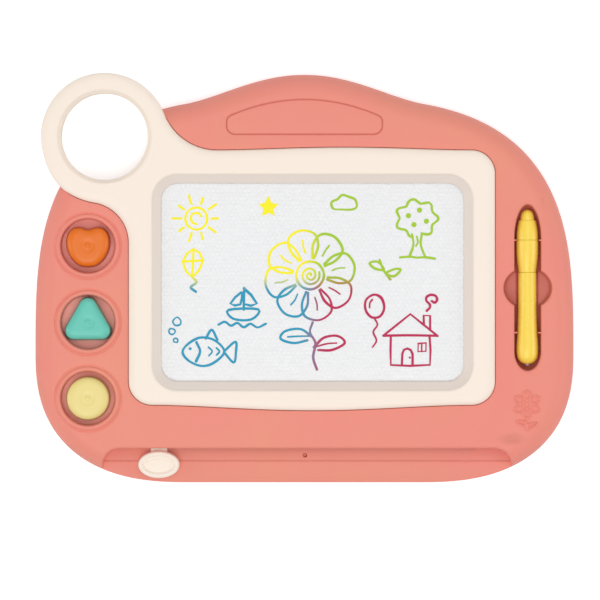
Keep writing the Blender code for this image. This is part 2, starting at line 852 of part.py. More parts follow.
def trough_ribs():
    """Thin saddle ribs across the trough, each open at the top by the pen's width there."""
    ribs = []
    for i, y in enumerate(rib_places()):
        low, high = y - trough_rib_thickness / 2, y + trough_rib_thickness / 2
        reach = trough_half_width + overrun
        body = box(
            f"saddle_{i}",
            (pen_x - reach, low, pen_axis_z - reach),
            (pen_x + reach, high, face_z - trough_rib_below_face),
        )
        radius = max(pen_radius_at(low), pen_radius_at(high)) + seat_gap
        bottom = [math.pi + math.pi * k / 10 for k in range(11)]
        section = [(pen_x + radius * math.cos(a), pen_axis_z + radius * math.sin(a)) for a in bottom]
        section += [(pen_x + radius, face_z + overrun), (pen_x - radius, face_z + overrun)]
        rings = [np.array([(x, end, z) for x, z in section[::-1]]) for end in (low - overrun, high + overrun)]
        ribs.append(cut(body, loft(f"saddle_opening_{i}", rings)))
    return ribs


def tongue_slot():
    """The slot in the channel's wall that the knob's tongue runs along."""
    half = tongue_width / 2 + tongue_play
    low = eraser_bar_z - tongue_play
    return box(
        "tongue_slot",
        (eraser_rest_x - half, channel_wall_y - overrun, low),
        (eraser_far_x + half, channel_wall_y + wall + overrun, eraser_bar_top_z + tongue_play),
    )


def screw_seat_z():
    """The height at which a case screw's head bears on its counterbore."""
    return back_z + counterbore_depth


def screw_shank_top_z():
    return screw_seat_z() - seat_gap + case_screw_length


def back_cover(finish):
    """The coral rear moulding: a shallow tray with its lip, posts, eraser rails and feet."""
    outline = case_outline()
    top = parting_z - seat_gap
    depth = top - back_z
    outer = [at_height(inward(outline, back_roll_width * i), top - depth * u) for i, u in quarter_roll(3)]
    cover = loft("back_cover", outer[::-1], finish)
    foot_x, low_y, high_y = board_half - foot_side_inset, bottom_y + foot_end_inset, -bottom_y - foot_end_inset
    past_ring = ring_x + ring_radius + bezel_seam + wall + foot_ring_gap + foot_radius
    feet = [(-foot_x, low_y), (foot_x, low_y), (foot_x, high_y), (past_ring, high_y)]
    join(cover, *[disc(f"foot_{i}", place, foot_radius, 0, back_z + wall / 2, 20) for i, place in enumerate(feet)])

    inner = [
        at_height(inward(outline, wall + (back_roll_width - wall) * i), top - (depth - wall) * u)
        for i, u in quarter_roll(2)
    ]
    inner = [at_height(inward(outline, wall), top + overrun), *inner]
    hollow = loft("back_hollow", inner[::-1])
    kept = [ring_body("back_ring_wall", bezel_seam + wall, -overrun, far_above)]
    back_post_radius = screw_head_radius + seat_gap + counterbore_wall
    for i, place in enumerate(case_screw_places()):
        kept.append(disc(f"back_post_{i}", place, back_post_radius, back_z, top - seat_gap, screw_segments))
    cut(hollow, *kept)
    cut(cover, hollow)

    lip_outside = wall + seat_gap
    lip_rings = [
        at_height(inward(outline, lip_outside), back_z + wall),
        at_height(inward(outline, lip_outside), top + lip_height),
    ]
    lip = loft("lip", lip_rings)
    lip_inside = [
        at_height(inward(outline, lip_outside + lip_thickness), back_z),
        at_height(inward(outline, lip_outside + lip_thickness), top + lip_height + overrun),
    ]
    cut(
        lip,
        loft("lip_inside", lip_inside),
        channel("lip_channel", wall, seat_gap),
        ring_body("lip_bay", bezel_seam + wall + seat_gap, -overrun, far_above),
    )
    join(cover, lip, *eraser_rails())

    voids = [ring_body("back_ring_bay", bezel_seam, -overrun, far_above)]
    for i, place in enumerate(case_screw_places()):
        head = screw_head_radius + seat_gap
        shank = screw_shank_radius + pilot_clearance
        profile = [(head, -overrun), (head, screw_seat_z()), (shank, screw_seat_z()), (shank, parting_z + overrun)]
        voids.append(turned(f"counterbore_{i}", place, profile, screw_segments))
    return cut(cover, *voids)


def eraser_rails():
    """A pair of ribs that guide the carriage's key, and one plain rib that carries its lower end."""
    left = eraser_rest_x - eraser_key_length / 2 - rail_end_play
    right = eraser_far_x + eraser_key_length / 2 + rail_end_play
    low, high = back_z + wall / 2, eraser_bar_z - seat_gap
    key = eraser_key_y()
    gap = eraser_key_width / 2 + rail_play
    lower = carriage_low_y() + rail_rib
    places = [key + gap, key - gap - rail_rib, lower]
    return [box(f"rail_{i}", (left, y, low), (right, y + rail_rib, high)) for i, y in enumerate(places)]


def ring_rear_half(finish):
    """The rear half of the carrying ring: rolled at its lower edges, open at the top, with three screw posts."""
    centre = (ring_x, ring_y)
    top = ring_split_z - seat_gap
    roll = [(ring_edge_roll * i, ring_back_z + ring_edge_roll * (1 - u)) for i, u in quarter_roll(2)][::-1]
    outer = [at_height(ring_plan(ring_radius - i, ring_heel() - i), z) for i, z in roll]
    body = loft("ring_rear_half", [*outer, at_height(ring_plan(ring_radius, ring_heel()), top)], finish)
    hole = [(ring_hole_radius + i, z) for i, z in roll]
    hole = [(hole[0][0], ring_back_z - overrun), *hole, (ring_hole_radius, top + overrun)]
    groove = ring_body("ring_groove", -ring_groove_wall, ring_back_z + bezel_wall, top + overrun)
    core = ring_hole_radius + ring_groove_wall
    kept = [disc("ring_groove_core", centre, core, ring_back_z, far_above, ring_segments)]
    holes = [turned("ring_hole", centre, hole, ring_segments)]
    head, shank = screw_head_radius + seat_gap, screw_shank_radius + pilot_clearance
    seat = ring_back_z + counterbore_depth
    for i, place in enumerate(ring_screw_places()):
        kept.append(disc(f"ring_post_{i}", place, head + counterbore_wall, ring_back_z, far_above, screw_segments))
        profile = [(head, ring_back_z - overrun), (head, seat), (shank, seat), (shank, top + overrun)]
        holes.append(turned(f"ring_counterbore_{i}", place, profile, screw_segments))
    cut(groove, *kept)
    return cut(body, groove, *holes)


def bezel_frame(finish):
    """The cream front moulding: the raised frame round the window and the front half of the ring."""
    outline = bezel_outline()
    bottom = rebate_z + seat_gap
    shoulder = bezel_z - bezel_shoulder_drop
    rings = [at_height(outline, bottom), at_height(outline, shoulder)]
    rings += [
        at_height(inward(outline, bezel_shoulder_width * i), shoulder + bezel_shoulder_drop * u)
        for i, u in quarter_roll(3)[1:]
    ]
    frame = loft("bezel_frame", rings, finish)
    centre = (ring_x, ring_y)
    join(frame, ring_body("ring_skirt", 0, ring_split_z, bottom + bezel_wall / 2))

    inner_shoulder = shoulder - bezel_wall / 2
    ceiling = bezel_z - bezel_wall
    hollow_rings = [
        at_height(inward(outline, bezel_wall), bottom - overrun),
        at_height(inward(outline, bezel_wall), inner_shoulder),
        at_height(inward(outline, bezel_shoulder_width), ceiling),
    ]
    hollow = loft("bezel_hollow", hollow_rings)
    join(hollow, ring_body("skirt_hollow", -bezel_wall, ring_split_z - overrun, bottom + bezel_wall))
    hole_wall = ring_hole_radius + bezel_wall
    hole_kept = [
        (hole_wall, ring_split_z - 2 * overrun),
        (hole_wall, bezel_z - ring_hole_bevel_depth - bezel_wall / 2),
        (hole_wall + ring_hole_bevel, bezel_z),
    ]
    slope_low = bottom + bezel_lip
    brow_foot = bezel_slope_width - bezel_brow_width
    brow_low = bezel_z - bezel_brow_drop
    window_kept = [
        at_height(window_outline(bezel_slope_wall), bottom - 2 * overrun),
        at_height(window_outline(bezel_slope_wall), slope_low),
        at_height(window_outline(bezel_slope_wall + brow_foot), brow_low),
        at_height(window_outline(bezel_slope_wall + bezel_slope_width), bezel_z),
    ]
    kept = [turned("ring_hole_wall", centre, hole_kept, ring_segments), loft("window_wall", window_kept)]
    for i, place in enumerate(bezel_screw_places()):
        kept.append(disc(f"bezel_post_{i}", place, bezel_post_radius, bottom, bezel_z, screw_segments))
    for i, place in enumerate(ring_screw_places()):
        kept.append(disc(f"ring_front_post_{i}", place, post_radius, ring_split_z, bezel_z, screw_segments))
    cut(hollow, *kept)

    hole = [
        (ring_hole_radius, ring_split_z - overrun),
        (ring_hole_radius, bezel_z - ring_hole_bevel_depth),
        (ring_hole_radius + ring_hole_bevel, bezel_z),
        (ring_hole_radius + ring_hole_bevel, bezel_z + overrun),
    ]
    window = [
        at_height(window_outline(0), bottom - overrun),
        at_height(window_outline(0), slope_low),
        at_height(window_outline(brow_foot), brow_low),
        at_height(window_outline(bezel_slope_width), bezel_z),
        at_height(window_outline(bezel_slope_width), bezel_z + overrun),
    ]
    voids = [hollow, turned("ring_hole_space", centre, hole, ring_segments), loft("window_space", window)]
    pilot_radius = screw_shank_radius + pilot_clearance
    for i, place in enumerate(bezel_screw_places()):
        top = bezel_shank_top_z() + seat_gap
        voids.append(disc(f"bezel_pilot_{i}", place, pilot_radius, bottom - overrun, top, screw_segments))
    for i, place in enumerate(ring_screw_places()):
        top = ring_back_z + counterbore_depth - seat_gap + ring_screw_length + seat_gap
        voids.append(disc(f"ring_pilot_{i}", place, pilot_radius, ring_split_z - overrun, top, screw_segments))
    return cut(frame, *voids)


def bezel_shank_top_z():
    return rebate_z - wall - seat_gap + bezel_screw_length


def screen(sheet_finish, core_finish):
    """The drawing panel: a front sheet, the cell core that holds the fluid, and a back sheet."""
    z = screen_bottom_z
    prism("screen_back_sheet", screen_outline(0), z, z + screen_sheet, sheet_finish)
    z += screen_sheet + seat_gap
    prism("screen_cell_core", screen_outline(0), z, z + screen_core, core_finish)
    z += screen_core + seat_gap
    prism("screen_front_sheet", screen_outline(0), z, z + screen_sheet, sheet_finish)


def screw(name, place, seat, length, finish):
    """A pan-head screw driven upwards, its head bearing at seat."""
    profile = [
        (screw_head_radius * 0.8, seat - screw_head_height),
        (screw_head_radius, seat),
        (screw_shank_radius, seat),
        (screw_shank_radius, seat + length),
    ]
    return turned(name, place, profile, screw_segments, finish)


def screws(finish):
    for i, place in enumerate(case_screw_places()):
        screw(f"case_screw_{i + 1}", place, screw_seat_z() - seat_gap, case_screw_length, finish)
    for i, place in enumerate(bezel_screw_places()):
        screw(f"bezel_screw_{i + 1}", place, rebate_z - wall - seat_gap, bezel_screw_length, finish)
    for i, place in enumerate(ring_screw_places()):
        seat = ring_back_z + counterbore_depth - seat_gap
        screw(f"ring_screw_{i + 1}", place, seat, ring_screw_length, finish)


def magnet_ends():
    """The lowest and highest Y of the eraser's magnet, inside the ledge's opening."""
    beyond = screen_end_margin - ledge_width - eraser_end_play
    return window_bottom - beyond, window_top + beyond


def eraser_key_y():
    return magnet_ends()[1] - eraser_key_setback


def carriage_low_y():
    """Where the carriage's bar ends and its foot steps up over the knob's tongue."""
    return channel_wall_y + wall + tongue_reach + eraser_foot_length


def eraser(carrier_finish, magnet_finish, knob_finish, screw_finish):
    """The wiping carriage: a bar on rails with its magnet, and the knob whose tongue is screwed to its foot."""
    low_y, high_y = magnet_ends()
    half_bar = eraser_bar_width / 2
    half_magnet = eraser_magnet_width / 2
    x = eraser_rest_x
    bar_low = carriage_low_y() - rail_rib
    bar = box(
        "eraser_carrier",
        (x - half_bar, bar_low, eraser_bar_z),
        (x + half_bar, high_y + eraser_tail, eraser_bar_top_z),
        carrier_finish,
    )
    foot_z = eraser_bar_top_z + seat_gap
    foot_top = foot_z + eraser_bar_thickness
    half_foot = eraser_foot_width / 2
    foot_low = bar_low - eraser_foot_length
    lips = []
    for i, side in enumerate((-1, 1)):
        near = x + side * (half_magnet + seat_gap)
        far = near + side * eraser_lip_width
        ends = (min(near, far), max(near, far))
        lips.append(
            box(
                f"magnet_lip_{i}",
                (ends[0], low_y, eraser_bar_top_z - eraser_lip_height),
                (ends[1], high_y, eraser_bar_top_z + eraser_lip_height),
            )
        )
    key = eraser_key_y()
    key_box = box(
        "guide_key",
        (x - eraser_key_length / 2, key - eraser_key_width / 2, eraser_bar_z - eraser_key_depth),
        (x + eraser_key_length / 2, key + eraser_key_width / 2, eraser_bar_top_z - eraser_bar_thickness / 2),
    )
    shoe = box(
        "carrier_shoe",
        (x - half_foot, bar_low, eraser_bar_z),
        (x + half_foot, bar_low + 1.5 * rail_rib, foot_top),
    )
    foot = box("carrier_foot", (x - half_foot, foot_low, foot_z), (x + half_foot, bar_low + rail_rib, foot_top))
    join(bar, *lips, key_box, shoe, foot)
    screw_y = foot_low + eraser_foot_length / 2
    pilot = screw_shank_radius + pilot_clearance
    cut(bar, disc("carrier_pilot", (x, screw_y), pilot, foot_z - overrun, foot_top + overrun, screw_segments))

    magnet_z = eraser_bar_top_z + seat_gap
    magnet = box(
        "eraser_magnet",
        (x - half_magnet, low_y, magnet_z),
        (x + half_magnet, high_y, magnet_z + eraser_magnet_thickness),
        magnet_finish,
    )
    handle = knob(x, foot_low, screw_y, knob_finish)
    fixing = screw("eraser_screw", (x, screw_y), eraser_bar_z - seat_gap, eraser_screw_length, screw_finish)
    carried("eraser_slide", (x, knob_y, knob_z), bar, magnet, handle, fixing)


def knob(x, foot_low, screw_y, finish):
    """The oval knob, dished on top, with the flat tongue that passes through the channel's wall."""
    low = channel_floor_z + knob_floor_gap
    high = low + knob_height
    half_width, half_length = knob_width / 2, knob_length / 2

    def oval(inset, z):
        return at_height(ellipse(x, knob_y, half_width - inset, half_length - inset, 20), z)

    rolled = knob_edge_roll
    rings = [oval(rolled * 0.6, low), oval(0, low + rolled), oval(0, high - rolled)]
    rings += [oval(rolled * 0.3, high - rolled * 0.3), oval(rolled, high)]
    rings += [oval(knob_rim_width, high - knob_dish_depth), oval(knob_rim_width * 1.5, high - knob_dish_depth)]
    body = loft("eraser_knob", rings, finish)
    half = tongue_width / 2
    tongue = box(
        "knob_tongue",
        (x - half, knob_y, eraser_bar_z),
        (x + half, foot_low + eraser_foot_length - seat_gap, eraser_bar_top_z),
    )
    join(body, tongue)
    pilot = screw_shank_radius + pilot_clearance
    return cut(
        body,
        disc("tongue_hole", (x, screw_y), pilot, eraser_bar_z - overrun, eraser_bar_top_z + overrun, screw_segments),
    )


def along_pen(name, profile, finish=None):
    """A body turned about the pen's own axis: profile is (y, radius) from the tip end to the tail end."""
    rings = []
    for y, radius in profile:
        flat = circle(0, 0, radius, pen_segments)
        rings.append(np.column_stack([pen_x + flat[:, 0], np.full(pen_segments, y), pen_axis_z - flat[:, 1]]))
    return loft(name, rings, finish)


def pen(yellow, nib_finish):
    """The magnetic pen: a barrel whose spigot carries the grip sleeve and the cap, with a magnet nib at its tip."""

    def y_at(share):
        return pen_tail_y - pen_length * share

    def stretch(start, end):
        """Profile points between two shares, tip end first, closed off at both ends."""
        inner = [(a, pen_radius * b) for a, b in pen_shares if start < a < end]
        first, last = (start, pen_radius_at(y_at(start))), (end, pen_radius_at(y_at(end)))
        return [(y_at(a), r) for a, r in [first, *inner, last]][::-1]

    spigot = pen_radius * spigot_share
    bore = spigot + seat_gap
    nib = pen_radius * nib_share
    last_share = pen_shares[-1][0]
    end_gap = seat_gap / pen_length
    body = stretch(pen_grip_end_share, last_share)
    spigot_end = y_at(spigot_start_share)
    barrel = along_pen("pen_barrel", [*body, (body[-1][0], spigot), (spigot_end, spigot)], yellow)
    nib_start = y_at(nib_bore_start_share)
    cut(barrel, along_pen("nib_bore", [(pen_tip_y - overrun, nib + seat_gap), (nib_start, nib + seat_gap)]))
    grip = along_pen("pen_grip", stretch(pen_cap_end_share + end_gap, pen_grip_end_share - end_gap), yellow)
    cut(grip, along_pen("grip_bore", [(pen_tip_y, bore), (pen_tail_y, bore)]))
    cap = along_pen("pen_cap", stretch(0, pen_cap_end_share), yellow)
    cut(cap, along_pen("cap_bore", [(pen_tip_y, bore), (spigot_end + seat_gap, bore)]))
    nib_profile = [(pen_tip_y, nib * 0.6), (pen_tip_y + nib / 2, nib), (nib_start - seat_gap, nib)]
    tip = along_pen("pen_nib", nib_profile, nib_finish)
    carried("pen_lift", (pen_x, pen_middle_y, pen_axis_z), barrel, grip, cap, tip)


def heart(grown):
    """The heart's outline about its well's centre, grown on every side."""
    half = np.array(heart_shares) * (stamp_radius, heart_height) + (0, heart_shift - heart_height / 2)
    other = half[1:][::-1] * (-1, 1)
    outline = np.vstack([half, other])[::-1]
    return inward(resampled(outline, 26), -grown)


def triangle(grown):
    """The rounded triangle's outline about its well's centre, grown on every side."""
    middle = triangle_reach - triangle_corner
    centres = [(middle * math.cos(a), middle * math.sin(a)) for a in np.radians([90, 210, 330])]
    outline = []
    for (x, y), start in zip(centres, (30, 150, 270)):
        for i in range(7):
            a = math.radians(start + 120 * i / 6)
            radius = triangle_corner + grown
            outline.append((x + radius * math.cos(a), y + radius * math.sin(a) + triangle_shift))
    return np.array(outline)


def disc_outline(grown):
    return circle(0, 0, stamp_radius + grown, 24)


def stamp(name, shape, place, finish, magnet_finish):
    """One stamp: a crowned body with a magnet sheet let into its underside."""
    low, high = stamp_bottom_z, stamp_top_z
    recess = low + stamp_magnet_thickness + seat_gap
    edge = high - stamp_edge_roll - stamp_crown
    levels = [
        (-stamp_rim, recess),
        (-stamp_rim, low),
        (-stamp_foot_chamfer, low),
        (0, low + stamp_foot_chamfer),
        (-stamp_draft, edge),
        (-stamp_draft - stamp_edge_roll * 0.35, edge + stamp_edge_roll * 0.75),
        (-stamp_draft - stamp_edge_roll, edge + stamp_edge_roll),
    ]
    rings = [at_height(shape(grown) + place, z) for grown, z in levels]
    crown = np.array(rings[-1])
    middle = np.array([*place, 0])
    shrunk = middle + (crown - middle) * (0.6, 0.6, 0)
    rings.append(shrunk + (0, 0, edge + stamp_edge_roll + stamp_crown * 0.6))
    body = loft(f"{name}_stamp", rings, finish)
    top = edge + stamp_edge_roll + stamp_crown * 0.6
    profile = [
        (stamp_pip_radius, top - wall / 2),
        (stamp_pip_radius, top + stamp_pip_height * 0.5),
        (stamp_pip_radius * 0.6, top + stamp_pip_height),
    ]
    join(body, turned(f"{name}_pip", place, profile, 12))
    sheet = shape(-stamp_rim - seat_gap) + place
    magnet = prism(f"{name}_stamp_magnet", sheet, low + seat_gap, low + stamp_magnet_thickness, magnet_finish)
    carried(f"{name}_lift", (*place, low), body, magnet)


def carried(name, place, *pieces):
    """An empty at a joint's place that carries the pieces which move there, with the helpers that shape them."""
    empty = bpy.data.objects.new(name, None)
    bpy.context.scene.collection.objects.link(empty)
    empty.location = place
    empty.empty_display_size = knob_length
    moved = list(pieces)
    for piece in moved:
        for modifier in piece.modifiers:
            moved += [helper for helper in modifier.collection.objects if helper not in moved]
    for piece in moved:
        piece.parent = empty
        piece.matrix_parent_inverse = Matrix.Translation(place).inverted()


def clear_scene():
    for old in list(bpy.data.objects):
        bpy.data.objects.remove(old)


def main():
    clear_scene()
    coral = material("coral plastic", (0.87, 0.30, 0.22), 0.42)
    cream = material("cream plastic", (0.94, 0.83, 0.71), 0.4)
    yellow = material("yellow plastic", (0.90, 0.66, 0.10), 0.35)
    orange = material("orange plastic", (0.87, 0.24, 0.05), 0.35)
    teal = material("teal plastic", (0.13, 0.56, 0.44), 0.35)
    straw = material("pale yellow plastic", (0.87, 0.73, 0.34), 0.38)
    film = material("screen film", (0.85, 0.85, 0.85), 0.3)
    core = material("cell core", (0.75, 0.75, 0.73), 0.5)
    carrier = material("natural plastic", (0.7, 0.68, 0.62), 0.5)
    magnet = material("flexible magnet", (0.05, 0.045, 0.045), 0.7)
    steel = material("zinc-plated steel", (0.55, 0.55, 0.56), 0.35, 1.0)

    front_shell(coral)
    back_cover(coral)
    bezel_frame(cream)
    ring_rear_half(cream)
    screen(film, core)
    eraser(carrier, magnet, cream, steel)
    pen(yellow, steel)
    wells = well_places()
    stamp("heart", heart, wells[0], orange, magnet)
    stamp("triangle", triangle, wells[1], teal, magnet)
    stamp("round", disc_outline, wells[2], straw, magnet)
    screws(steel)


main()
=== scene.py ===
"""The looks of a child's magnetic drawing board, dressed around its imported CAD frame.

Plan sizes are in millimetres, as on the moulder's drawing, and a mesh turns to metres when it is made.
"""

import math

import bpy
import numpy as np
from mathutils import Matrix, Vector, geometry


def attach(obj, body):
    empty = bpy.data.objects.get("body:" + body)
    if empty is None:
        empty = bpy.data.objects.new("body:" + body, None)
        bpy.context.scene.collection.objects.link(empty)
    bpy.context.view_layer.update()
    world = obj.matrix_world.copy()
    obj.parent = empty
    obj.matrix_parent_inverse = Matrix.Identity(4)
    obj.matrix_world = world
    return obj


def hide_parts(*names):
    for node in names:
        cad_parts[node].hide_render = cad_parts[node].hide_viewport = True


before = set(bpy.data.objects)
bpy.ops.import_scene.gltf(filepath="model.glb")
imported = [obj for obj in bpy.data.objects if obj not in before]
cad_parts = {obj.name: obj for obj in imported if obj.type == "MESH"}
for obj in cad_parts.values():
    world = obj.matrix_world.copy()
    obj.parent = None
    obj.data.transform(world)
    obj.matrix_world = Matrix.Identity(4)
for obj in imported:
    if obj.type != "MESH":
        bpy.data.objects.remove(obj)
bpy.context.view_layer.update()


# Table, camera and lamps.
# The board lies face up on a pale table in an even white room, under two soft boxes above it and three low ones
# round it, and is seen from straight above through a long lens.

view_width = 432.5
view_middle = (-3.24, -15.86)
lens_distance = 3000
face_level = 26.5
room_light = 0.42

eye = bpy.data.cameras.new("eye")
eye.sensor_width = 36
eye.lens = eye.sensor_width * lens_distance / view_width
eye.clip_end = 20
camera = bpy.data.objects.new("camera", eye)
camera.location = (view_middle[0] / 1000, view_middle[1] / 1000, (lens_distance + face_level) / 1000)
bpy.context.scene.collection.objects.link(camera)
bpy.context.scene.camera = camera
bpy.context.scene.view_settings.view_transform = "Standard"


def soft_lamp(name, place, size, watts):
    """A square soft box at a place in metres, turned towards the middle of the table."""
    lamp = bpy.data.lights.new(name, "AREA")
    lamp.size = size
    lamp.energy = watts
    hung = bpy.data.objects.new(name, lamp)
    hung.location = place
    hung.rotation_euler = Vector(place).to_track_quat("Z", "Y").to_euler()
    bpy.context.scene.collection.objects.link(hung)


soft_lamp("main_box", (-0.5, -1.4, 3.3), 2.4, 47)
soft_lamp("fill_box", (0.6, 1.1, 3.4), 2.4, 21)
soft_lamp("left_box", (-3.0, -0.2, 1.4), 1.6, 18)
soft_lamp("right_box", (3.0, -0.2, 1.4), 1.6, 20)
soft_lamp("far_box", (0, 3.0, 1.2), 1.6, 8)


def add_node(tree, kind, inputs=None, **settings):
    """A shader node with its settings, and its inputs given as values or as sockets to link from."""
    made = tree.nodes.new(kind)
    for name, value in settings.items():
        setattr(made, name, value)
    for name, value in (inputs or {}).items():
        if isinstance(value, bpy.types.NodeSocket):
            tree.links.new(value, made.inputs[name])
        else:
            made.inputs[name].default_value = value
    return made


def maths(tree, operation, *values, **settings):
    """The result of a Math node."""
    return add_node(tree, "ShaderNodeMath", dict(enumerate(values)), operation=operation, **settings).outputs[0]


def blended(tree, share, first, second, **settings):
    """A colour between two, by how large a share the second has."""
    given = {0: share, 6: first, 7: second}
    return add_node(tree, "ShaderNodeMix", given, data_type="RGBA", **settings).outputs[2]


def own_place(tree):
    """Where each point lies on the object, in metres."""
    return add_node(tree, "ShaderNodeTexCoord").outputs["Object"]


def cloudy(tree, place, scale, detail, **inputs):
    """A soft random cloud from 0 to 1."""
    given = {"Vector": place, "Scale": scale, "Detail": detail, **inputs}
    return add_node(tree, "ShaderNodeTexNoise", given).outputs[0]


def linear(red, green, blue):
    """The shader's colour for one that is written as the eye sees it, from 0 to 255."""
    shares = np.array([red, green, blue]) / 255
    return (*np.where(shares <= 0.04045, shares / 12.92, ((shares + 0.055) / 1.055) ** 2.4), 1.0)


room = bpy.data.worlds.new("room")
room.use_nodes = True
room.node_tree.nodes.clear()
path = add_node(room.node_tree, "ShaderNodeLightPath").outputs
seen_ways = maths(room.node_tree, "MAXIMUM", path["Is Camera Ray"], path["Is Transmission Ray"])
lit = add_node(room.node_tree, "ShaderNodeBackground", {"Color": linear(250, 251, 255), "Strength": room_light})
seen = add_node(room.node_tree, "ShaderNodeBackground", {"Color": (1, 1, 1, 1), "Strength": 1.0})
either = {0: seen_ways, 1: lit.outputs[0], 2: seen.outputs[0]}
walls = add_node(room.node_tree, "ShaderNodeMixShader", either)
add_node(room.node_tree, "ShaderNodeOutputWorld", {"Surface": walls.outputs[0]})
bpy.context.scene.world = room


def new_finish(name, **sockets):
    """A material with a Principled shader, its plain constants set on the shader's own sockets."""
    made = bpy.data.materials.new(name)
    made.use_nodes = True
    shader = made.node_tree.nodes["Principled BSDF"]
    for socket, value in sockets.items():
        shader.inputs[socket.replace("_", " ")].default_value = value
    return made, made.node_tree, shader


table_finish, tree, shader = new_finish("table_finish", Roughness=0.85)
fibres = cloudy(tree, own_place(tree), 60.0, 4.0)
paper = blended(tree, fibres, (0.93, 0.93, 0.93, 1), (0.95, 0.95, 0.95, 1))
tree.links.new(paper, shader.inputs["Base Color"])
path = add_node(tree, "ShaderNodeLightPath").outputs
tree.links.new(maths(tree, "MULTIPLY", path["Is Camera Ray"], room_light), shader.inputs["Emission Strength"])
shader.inputs["Emission Color"].default_value = (1, 1, 1, 1)
table_mesh = bpy.data.meshes.new("table_top")
table_mesh.from_pydata([(-6, -6, 0), (6, -6, 0), (6, 6, 0), (-6, 6, 0)], [], [(0, 1, 2, 3)])
table_mesh.materials.append(table_finish)
table = bpy.data.objects.new("table_top", table_mesh)
bpy.context.scene.collection.objects.link(table)


# Front moulding.
# The coral front half of the case, one injection moulding in satin ABS: a broad rolled edge, three ringed
# stamp wells, the pen's trough with its finger hollow, a thumb panel and the eraser's channel. The bezel
# drops into its rebate, and the moulding closes on the back one at a fine parting line.

board_half = 195
board_bottom = -148
shoulder_top = 131
widest_level = -54.5
lower_corner_width = 110
lower_squareness, upper_squareness = 2.47, 3.14
hump_rise = 16.4
hump_half_width = 87
parting = 9.0
front_roll_width = 15
front_depth = face_level - parting


def resampled(points, spacing):
    """The closed curve through points, at an even spacing."""
    apart = np.linalg.norm(points - np.roll(points, 1, axis=0), axis=1) > 1e-3
    closed = np.vstack([points[apart], points[apart][:1]])
    along = np.concatenate([[0], np.cumsum(np.linalg.norm(np.diff(closed, axis=0), axis=1))])
    wanted = np.linspace(0, along[-1], int(along[-1] / spacing), endpoint=False)
    return np.column_stack([np.interp(wanted, along, closed[:, k]) for k in (0, 1)])


def arc(x, y, radius, start, end, steps=60):
    """Points along a part of a circle, between two angles."""
    angles = np.linspace(start, end, steps)
    return np.column_stack([x + radius * np.cos(angles), y + radius * np.sin(angles)])


def circle(x, y, radius, count):
    """A closed loop of points on a circle."""
    return arc(x, y, radius, 0, 2 * math.pi, count + 1)[:-1]


def away_from(points, place):
    """How far each point lies from a place in plan."""
    return np.hypot(*(points - place).T)


def case_edge():
    """The case in plan: quarter superellipses meet at the widest level, with the handle's hump on top."""
    angle = np.linspace(0, math.pi / 2, 600)
    lower, upper = 2 / lower_squareness, 2 / upper_squareness
    corner_x = board_half - lower_corner_width * (1 - np.sin(angle) ** lower)
    corner_y = widest_level - (widest_level - board_bottom) * np.cos(angle) ** lower
    shoulder_x = board_half * np.cos(angle) ** upper
    shoulder_y = widest_level + (shoulder_top - widest_level) * np.sin(angle) ** upper
    shoulder_y += hump_rise * np.maximum(0, 1 - (shoulder_x / hump_half_width) ** 2) ** 2
    right = np.column_stack([np.append(corner_x, shoulder_x[1:]), np.append(corner_y, shoulder_y[1:])])
    return resampled(np.vstack([right, right[::-1][1:] * (-1, 1)]), 2.4)


def inset(loop, distance):
    """An anticlockwise loop moved inwards by distance, square to its sides."""
    run = np.roll(loop, -1, axis=0) - loop
    run /= np.linalg.norm(run, axis=1)[:, None]
    normal = np.column_stack([-run[:, 1], run[:, 0]])
    middle = normal + np.roll(normal, 1, axis=0)
    middle /= np.linalg.norm(middle, axis=1)[:, None]
    return loop + distance * middle / np.sum(middle * normal, axis=1)[:, None]


def depth_inside(points, loop):
    """How far inside a loop each point lies, and below zero how far outside."""
    start, run = loop, np.roll(loop, -1, axis=0) - loop
    length = np.sum(run**2, axis=1)
    found = np.empty(len(points))
    at_once = 4000
    for low in range(0, len(points), at_once):
        part = points[low : low + at_once]
        away = part[:, None] - start
        share = np.clip(np.sum(away * run, axis=2) / length, 0, 1)
        nearest = np.sqrt(np.min(np.sum((away - share[..., None] * run) ** 2, axis=2), axis=1))
        above = away[..., 1] < 0
        below_next = np.roll(above, -1, axis=1)
        level = np.where(run[:, 1] == 0, 1, run[:, 1])
        crossing = (above != below_next) & (away[..., 0] < run[:, 0] * away[..., 1] / level)
        found[low : low + at_once] = np.where(crossing.sum(axis=1) % 2, nearest, -nearest)
    return found


def rolled(distance, width, drop):
    """The fall of a quarter-round edge at a distance in from its rim."""
    return drop * (1 - np.sqrt(1 - (1 - np.clip(distance / width, 0, 1)) ** 2))


def roll_steps(width, steps):
    """Distances in from the rim at which a quarter-round edge turns by even angles, and one past its end."""
    return [width * (1 - math.cos(math.pi / 2 * i / steps)) for i in range(steps + 1)] + [width * 1.03 + 0.3]


def pocket(depth, top_round, floor_round, draft, steps=4):
    """A pocket's side, as distances out from its wall and the shares of its depth reached there."""
    angles = np.linspace(0, math.pi / 2, steps + 1)
    side = [(top_round * 1.3 + 0.4, 0)]
    side += [(top_round * (1 - math.sin(a)), top_round * (1 - math.cos(a))) for a in angles]
    side += [(-draft - floor_round * (1 - math.cos(a)), depth - floor_round * (1 - math.sin(a)))
             for a in angles]
    side.append((-draft - floor_round * 1.3 - 0.4, depth))
    distance, fall = np.array(side).T
    return distance, fall / depth


def reached(distance, side):
    """The share of a pocket's depth at a distance out from its wall."""
    return np.interp(distance, side[0][::-1], side[1][::-1])


